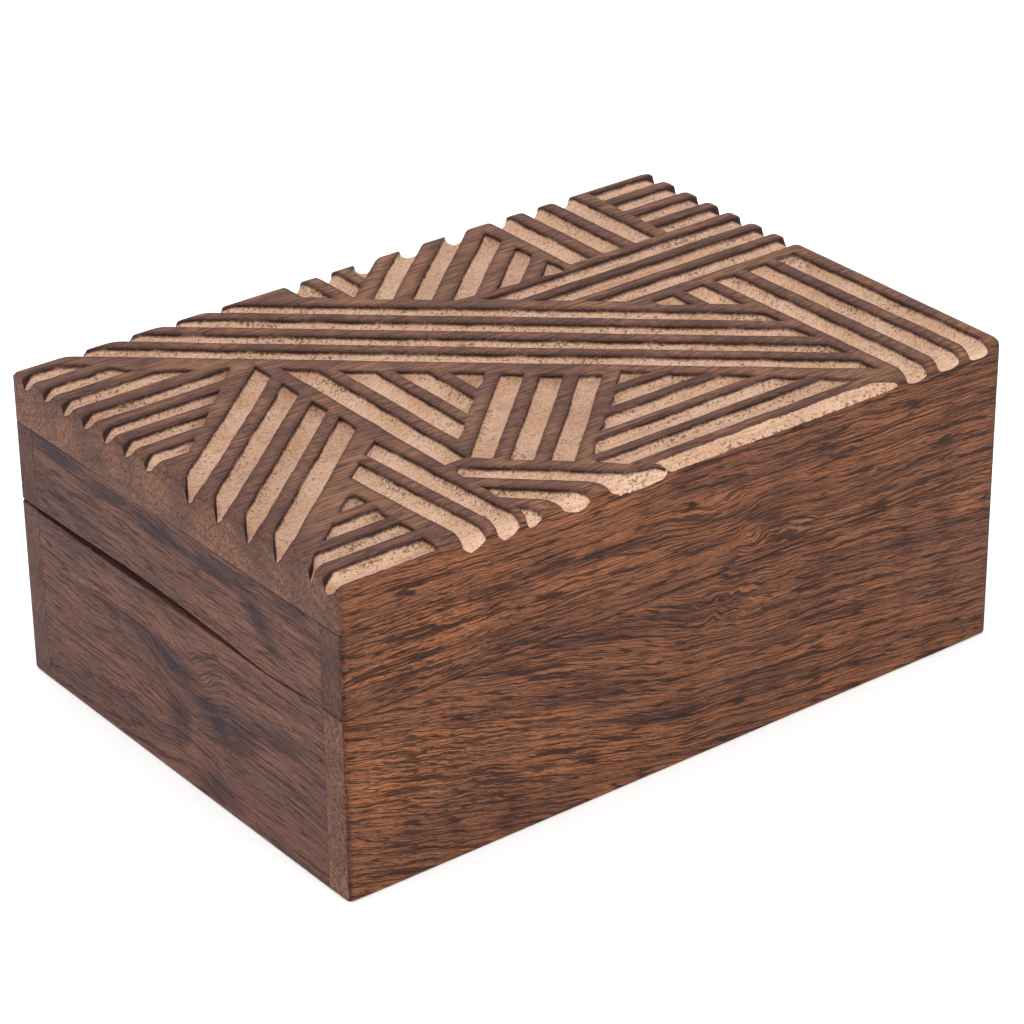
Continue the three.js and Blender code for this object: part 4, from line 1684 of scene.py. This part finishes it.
    @staticmethod
    def _border_loop(faces: list[list[int]]) -> list[int]:
        """Follow the outside of a net of triangles.

        Args:
            faces: The triangles, all turned the same way.

        Returns:
            The points round the outside, in order.
        """
        onward: dict[tuple[int, int], bool] = {}
        for face in faces:
            for first, second in zip(face, face[1:] + face[:1]):
                onward[(first, second)] = True
        after = {first: second for first, second in onward if (second, first) not in onward}
        start = min(after)
        loop = [start]
        while after[loop[-1]] != start:
            loop.append(after[loop[-1]])
        return loop

    def _mesh(self) -> bpy.types.Mesh:
        """Build the whole board: carved top, plain sides and flat underside.

        Returns:
            The closed mesh with the numbers that its finish reads.
        """
        places, faces, marks = self._flat_net()
        facts = self.surface(places[:, 0], places[:, 1], marks)
        count = len(places)
        loop = self._border_loop(faces)
        outer = places[loop]
        rim_height = facts["height"][loop]
        bottom = self.underside
        first_drop, second_drop, third_drop = self.skirt_drops
        high, middle, low = self.skirt_levels
        on_bevel = self.lower_bevel * self.bevel_share
        rings = [
            (0.0, rim_height - first_drop),
            (0.0, rim_height - second_drop),
            (0.0, np.minimum(rim_height - third_drop, high)),
            (0.0, np.full(len(loop), middle)),
            (0.0, np.full(len(loop), low)),
            (0.0, np.full(len(loop), bottom + self.lower_bevel)),
            (on_bevel, np.full(len(loop), bottom + on_bevel)),
            (self.lower_bevel, np.full(len(loop), bottom)),
        ]
        points = [np.column_stack([places, facts["height"]])]
        for inset, heights in rings:
            shrink = np.array([1 - inset / (self.length / 2), 1 - inset / (self.width / 2)])
            points.append(np.column_stack([outer * shrink, heights]))
        size = len(loop)
        above = loop
        for index in range(len(rings)):
            below = [count + index * size + k for k in range(size)]
            for k in range(size):
                after = (k + 1) % size
                faces.append([above[k], below[k], below[after], above[after]])
            above = below
        faces.append(above[::-1])
        every = np.concatenate(points)
        mesh = bpy.data.meshes.new("carved_lid_top")
        mesh.from_pydata((every * MM).tolist(), [], faces)
        form = bmesh.new()
        form.from_mesh(mesh)
        bmesh.ops.recalc_face_normals(form, faces=form.faces)
        form.to_mesh(mesh)
        form.free()
        self._write_marks(mesh, every, facts, count, loop)
        self._lay_out(mesh, every, count)
        mesh.polygons.foreach_set("use_smooth", [True] * len(mesh.polygons))
        mesh.set_sharp_from_angle(angle=math.radians(self.sharp_from))
        return mesh

    def _write_marks(
        self,
        mesh: bpy.types.Mesh,
        every: np.ndarray,
        facts: dict[str, np.ndarray],
        count: int,
        loop: list[int],
    ) -> None:
        """Write the numbers that the finish reads on the mesh's points.

        Args:
            mesh: The board's mesh.
            every: All its points in millimetres.
            facts: Numbers of the carved surface's points.
            count: How many points the carved surface has.
            loop: The carved surface's border points in order.
        """
        rest = len(every) - count
        # Burn and painted shade on the skirt's top row, under the grooves' exits, as deep as their cut.
        burned_and_shaded = np.zeros(rest)
        burned_and_shaded[: len(loop)] = np.clip(facts["cut_depth"][loop] / self.burn_and_shade_depth, 0.0, 1.0)
        x, y, z = every[:, 0], every[:, 1], every[:, 2]
        skirt = np.arange(len(every)) >= count
        to_end = self.length / 2 - np.abs(x)
        to_side = self.width / 2 - np.abs(y)
        steep = np.clip(1.2 - np.minimum(to_end, to_side) / 0.4, 0.0, 1.0)
        steep = np.where(skirt, 1.0, steep * steep * (3 - 2 * steep))
        at_end = np.clip((to_side - to_end) / 0.6 + 0.5, 0.0, 1.0)
        marks = {
            "cut_depth": np.concatenate([facts["cut_depth"], np.zeros(rest)]),
            "rim_distance": np.concatenate([facts["rim_distance"], np.full(rest, -5.0)]),
            "stain_and_shade_reach": np.concatenate([facts["stain_and_shade_reach"], np.full(rest, 1.0)]),
            "torn_share": np.concatenate([facts["torn_share"], np.zeros(rest)]),
            "burn_and_shade_share": np.concatenate([np.zeros(count), burned_and_shaded]),
            "end_share": steep * at_end,
            "side_share": steep * (1 - at_end),
        }
        marks["end_share"] = np.where(z < self.underside + 0.01, 0.0, marks["end_share"])
        for name, values in marks.items():
            layer = mesh.attributes.new(name, "FLOAT", "POINT")
            layer.data.foreach_set("value", values.astype(np.float32))

    def _lay_out(self, mesh: bpy.types.Mesh, every: np.ndarray, count: int) -> None:
        """Lay the board's surface out flat: the top, the four sides and the smaller underside.

        Args:
            mesh: The board's mesh.
            every: All its points in millimetres.
            count: How many points the carved surface has.
        """
        layer = mesh.uv_layers.new(name="OFBake")
        gap = self.map_gap
        span = self.length + 2 * gap
        side_height = self.top - self.underside + 2.0
        under_from = self.width + 5.0 * gap + 4.0 * side_height
        values = np.zeros((len(mesh.loops), 2))
        corners = np.zeros(len(mesh.loops), dtype=int)
        mesh.loops.foreach_get("vertex_index", corners)
        for face in mesh.polygons:
            loops = np.arange(face.loop_start, face.loop_start + face.loop_total)
            spots = every[corners[loops]]
            x, y, z = spots[:, 0], spots[:, 1], spots[:, 2]
            if np.all(corners[loops] < count):
                u = x + self.length / 2 + gap
                v = y + self.width / 2 + gap
            elif face.loop_total > 4 or abs(face.normal.z) > 0.9:
                u = (x + self.length / 2) * self.under_length + gap
                v = (y + self.width / 2) * self.under_width + under_from
            else:
                middle = spots.mean(0)
                rise = z - self.underside + 0.5
                across_end = self.length / 2 - abs(middle[0]) < self.width / 2 - abs(middle[1])
                line = y + self.width / 2 if across_end else x + self.length / 2
                row = (0 if middle[0] < 0 else 1) if across_end else (2 if middle[1] < 0 else 3)
                u = line + gap
                v = self.width + 2 * gap + row * (side_height + gap) + rise
            values[loops, 0] = u / span
            values[loops, 1] = v / (under_from + self.width * self.under_width + gap)
        layer.data.foreach_set("uv", values.astype(np.float32).ravel())

    def build(self, side: BoardWood) -> bpy.types.Object:
        """Make the carved top, dress it and put it in the place of its frame part.

        Args:
            side: Finish of the long side faces.

        Returns:
            The carved top.
        """
        made = put_in_scene("carved_lid_top", self._mesh(), [CarvedWood(side).dress("carved_wood_finish")])
        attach(made, "lid")
        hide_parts("lid_carved_top")
        return made


@dataclass(frozen=True)
class CaseBottom:
    """The bottom panel and the felt that lies on it."""

    felt_length: float = 185.6
    felt_width: float = 122.6
    felt_low: float = BOTTOM_THICKNESS
    felt_high: float = 6.15
    cell: float = 1.3
    edge_drop: float = 0.45
    lump: float = 0.05
    sag: float = 0.06
    lump_cell: float = 2.2
    wave_cell: float = 17.0
    felt_border: float = 0.1
    felt_sharp: float = 60.0
    panel_edge: float = 0.3

    def panel(self) -> bpy.types.Object:
        """Make the bottom panel from its frame part, with a plain finish.

        Returns:
            The panel.
        """
        wood = BoardWood(
            Run.TOP_BOARD, display(132, 92, 66), display(110, 76, 56), display(90, 62, 50),
            display(66, 44, 38), 21.0, lean=0.02, worn_ends=300.0,
        )
        form = frame_form("case_bottom_panel", weld=0.002)
        offset = self.panel_edge * MM
        bmesh.ops.bevel(form, geom=form.edges[:], offset=offset, segments=2, profile=0.5, affect="EDGES")
        mesh = finished_mesh(form, "bottom_panel")
        made = put_in_scene("bottom_panel", mesh, [wood.dress("bottom_panel_wood")])
        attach(made, "case")
        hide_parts("case_bottom_panel")
        return made

    def liner(self, rng: np.random.Generator) -> bpy.types.Object:
        """Make the felt liner, a thin mat with soft edges.

        Args:
            rng: Source of its small lumps.

        Returns:
            The liner.
        """
        columns = round(self.felt_length / self.cell)
        rows = round(self.felt_width / self.cell)
        x, y = np.meshgrid(
            np.linspace(-self.felt_length / 2, self.felt_length / 2, columns + 1),
            np.linspace(-self.felt_width / 2, self.felt_width / 2, rows + 1),
            indexing="ij",
        )
        lumps = GridNoise(rng, self.lump_cell)
        wide = GridNoise(rng, self.wave_cell)
        height = self.felt_high - self.sag + self.lump * lumps.at(x, y)
        height = height - self.sag * (0.5 + 0.5 * wide.at(x, y))
        at_end = np.abs(x) > self.felt_length / 2 - self.felt_border
        at_side = np.abs(y) > self.felt_width / 2 - self.felt_border
        height = np.where(at_end | at_side, self.felt_high - self.edge_drop, height)
        top = np.stack([x, y, height], 2).reshape(-1, 3)
        faces: list[list[int]] = []
        for i in range(columns):
            for j in range(rows):
                first = i * (rows + 1) + j
                faces.append([first, first + rows + 1, first + rows + 2, first + 1])
        loop = [i * (rows + 1) for i in range(columns)]
        loop += [columns * (rows + 1) + j for j in range(rows)]
        loop += [i * (rows + 1) + rows for i in range(columns, 0, -1)]
        loop += [j for j in range(rows, 0, -1)]
        lower = top[loop].copy()
        lower[:, 2] = self.felt_low
        count = len(top)
        size = len(loop)
        for k in range(size):
            after = (k + 1) % size
            faces.append([loop[k], count + k, count + after, loop[after]])
        faces.append([count + k for k in range(size)][::-1])
        mesh = bpy.data.meshes.new("felt_liner")
        mesh.from_pydata((np.concatenate([top, lower]) * MM).tolist(), [], faces)
        mesh.polygons.foreach_set("use_smooth", [True] * len(mesh.polygons))
        mesh.set_sharp_from_angle(angle=math.radians(self.felt_sharp))
        made = put_in_scene("felt_liner", mesh, [FeltCloth().dress("felt_cloth")])
        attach(made, "case")
        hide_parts("case_felt_liner")
        return made

    def build(self, rng: np.random.Generator) -> None:
        """Make both pieces.

        Args:
            rng: Source of the felt's small lumps.
        """
        for made in (self.panel(), self.liner(rng)):
            log.info("%s: %d faces", made.name, len(made.data.polygons))


class Side(Enum):
    """Which of the two hinges is meant."""

    LEFT = "left_hinge"
    RIGHT = "right_hinge"


@dataclass(frozen=True)
class Hinge:
    """One brass butt hinge: pin, two leaves and their screws."""

    side: Side
    edge_radius: float = 0.12
    edge_steps: int = 2
    edge_from: float = 42.0

    def _part(self, node: str, body: str, brass: bpy.types.Material) -> bpy.types.Object:
        """Make one brass part from its frame part, with softened edges.

        Args:
            node: Name of the frame part.
            body: The body that it rides on.
            brass: Its material.

        Returns:
            The part.
        """
        mesh = finished_mesh(frame_form(node, weld=0.0005), f"{node}_brass")
        made = put_in_scene(f"{node}_brass", mesh, [brass])
        soft = made.modifiers.new("soft edges", "BEVEL")
        soft.limit_method = "ANGLE"
        soft.angle_limit = math.radians(self.edge_from)
        soft.width = self.edge_radius * MM
        soft.segments = self.edge_steps
        soft.use_clamp_overlap = True
        soft.harden_normals = True
        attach(made, body)
        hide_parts(node)
        return made

    def build(self, brass: bpy.types.Material) -> None:
        """Make the hinge's seven parts.

        Args:
            brass: The finish that they share.
        """
        name = self.side.value
        case_parts = [f"{name}_pin", f"{name}_case_leaf", f"{name}_case_screw_1", f"{name}_case_screw_2"]
        lid_parts = [f"{name}_lid_leaf", f"{name}_lid_screw_1", f"{name}_lid_screw_2"]
        for body, nodes in (("case", case_parts), ("lid", lid_parts)):
            for node in nodes:
                made = self._part(node, body, brass)
                log.info("%s: %d faces", made.name, len(made.data.polygons))


@dataclass(frozen=True)
class SoftLight:
    """One large soft lamp, with its lengths in metres."""

    name: str
    place: tuple[float, float, float]
    size: float
    watts: float
    target: tuple[float, float, float] = (0.0, 0.0, 0.04)


@dataclass(frozen=True)
class Studio:
    """The pale ground, the soft light and the camera."""

    azimuth: float = -37.27
    elevation: float = 27.80
    roll: float = -0.72
    focal_pixels: float = 3730.2
    sensor: float = 36.0
    camera_at: tuple[float, float, float] = (-507.4, -667.2, 482.2)
    floor_reach: float = 6.0
    floor_drop: float = 0.05
    world_light: float = 0.8
    lights: tuple[SoftLight, ...] = (
        SoftLight("front_lamp", (0.35, -1.6, 0.9), 1.2, 16.0),
        SoftLight("top_lamp", (-0.2, 0.4, 1.8), 1.6, 14.0),
        SoftLight("left_lamp", (-1.7, -0.1, 0.8), 1.2, 6.0),
    )

    def clear(self) -> None:
        """Take away the objects that a new Blender file starts with."""
        for name in ("Cube", "Light", "Camera"):
            found = bpy.data.objects.get(name)
            if found is not None:
                bpy.data.objects.remove(found, do_unlink=True)

    def _ground(self) -> None:
        """Lay the floor."""
        reach = self.floor_reach
        low = -self.floor_drop * MM
        corners = [(-reach, -reach, low), (reach, -reach, low), (reach, reach, low), (-reach, reach, low)]
        mesh = bpy.data.meshes.new("pale_ground")
        mesh.from_pydata(corners, [], [(0, 1, 2, 3)])
        put_in_scene("pale_ground", mesh, [PaleGround().dress("pale_ground_paint")])

    def _light(self) -> None:
        """Hang the lamps and set the sky's even light."""
        for lamp in self.lights:
            data = bpy.data.lights.new(lamp.name, "AREA")
            data.shape = "SQUARE"
            data.size = lamp.size
            data.energy = lamp.watts
            made = bpy.data.objects.new(lamp.name, data)
            made.location = lamp.place
            aim = Vector(lamp.target) - Vector(lamp.place)
            made.rotation_euler = aim.to_track_quat("-Z", "Y").to_euler()
            bpy.context.scene.collection.objects.link(made)
        sky = bpy.data.worlds.new("even_white_sky")
        sky.use_nodes = True
        backdrop = sky.node_tree.nodes["Background"]
        backdrop.inputs["Color"].default_value = (1.0, 1.0, 1.0, 1.0)
        backdrop.inputs["Strength"].default_value = self.world_light
        bpy.context.scene.world = sky
        bpy.context.scene.view_settings.view_transform = "Standard"

    def _camera(self) -> None:
        """Stand the camera where the photograph was taken from."""
        azimuth, elevation = math.radians(self.azimuth), math.radians(self.elevation)
        roll = math.radians(self.roll)
        back = Vector((
            math.sin(azimuth) * math.cos(elevation),
            -math.cos(azimuth) * math.cos(elevation),
            math.sin(elevation),
        ))
        level = Vector((math.cos(azimuth), math.sin(azimuth), 0.0))
        upward = back.cross(level)
        right = level * math.cos(roll) + upward * math.sin(roll)
        up = upward * math.cos(roll) - level * math.sin(roll)
        data = bpy.data.cameras.new("photo_camera")
        data.sensor_width = self.sensor
        data.lens = self.focal_pixels * self.sensor / PHOTO_WIDTH
        data.clip_start = 0.01
        data.clip_end = 50.0
        made = bpy.data.objects.new("photo_camera", data)
        turn = Matrix((right, up, back)).transposed().to_4x4()
        made.matrix_world = Matrix.Translation(Vector(self.camera_at) * MM) @ turn
        bpy.context.scene.collection.objects.link(made)
        bpy.context.scene.camera = made

    def build(self) -> None:
        """Set the stage."""
        self._ground()
        self._light()
        self._camera()
        log.info("studio: %d lamps", len(self.lights))


def main() -> None:
    """Build and dress the whole box in order."""
    logging.basicConfig(level=logging.INFO, format="%(name)s: %(message)s")
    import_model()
    studio = Studio()
    studio.clear()
    rng = np.random.default_rng(WEAR_SEED)
    frames = BoardFrames()
    frames.build(rng)
    top = CarvedTop().build(frames.lid_front_wood())
    log.info("%s: %d faces", top.name, len(top.data.polygons))
    CaseBottom().build(rng)
    brass = AgedBrass().dress("aged_brass")
    for side in Side:
        Hinge(side).build(brass)
    studio.build()


if __name__ == "__main__":
    main()
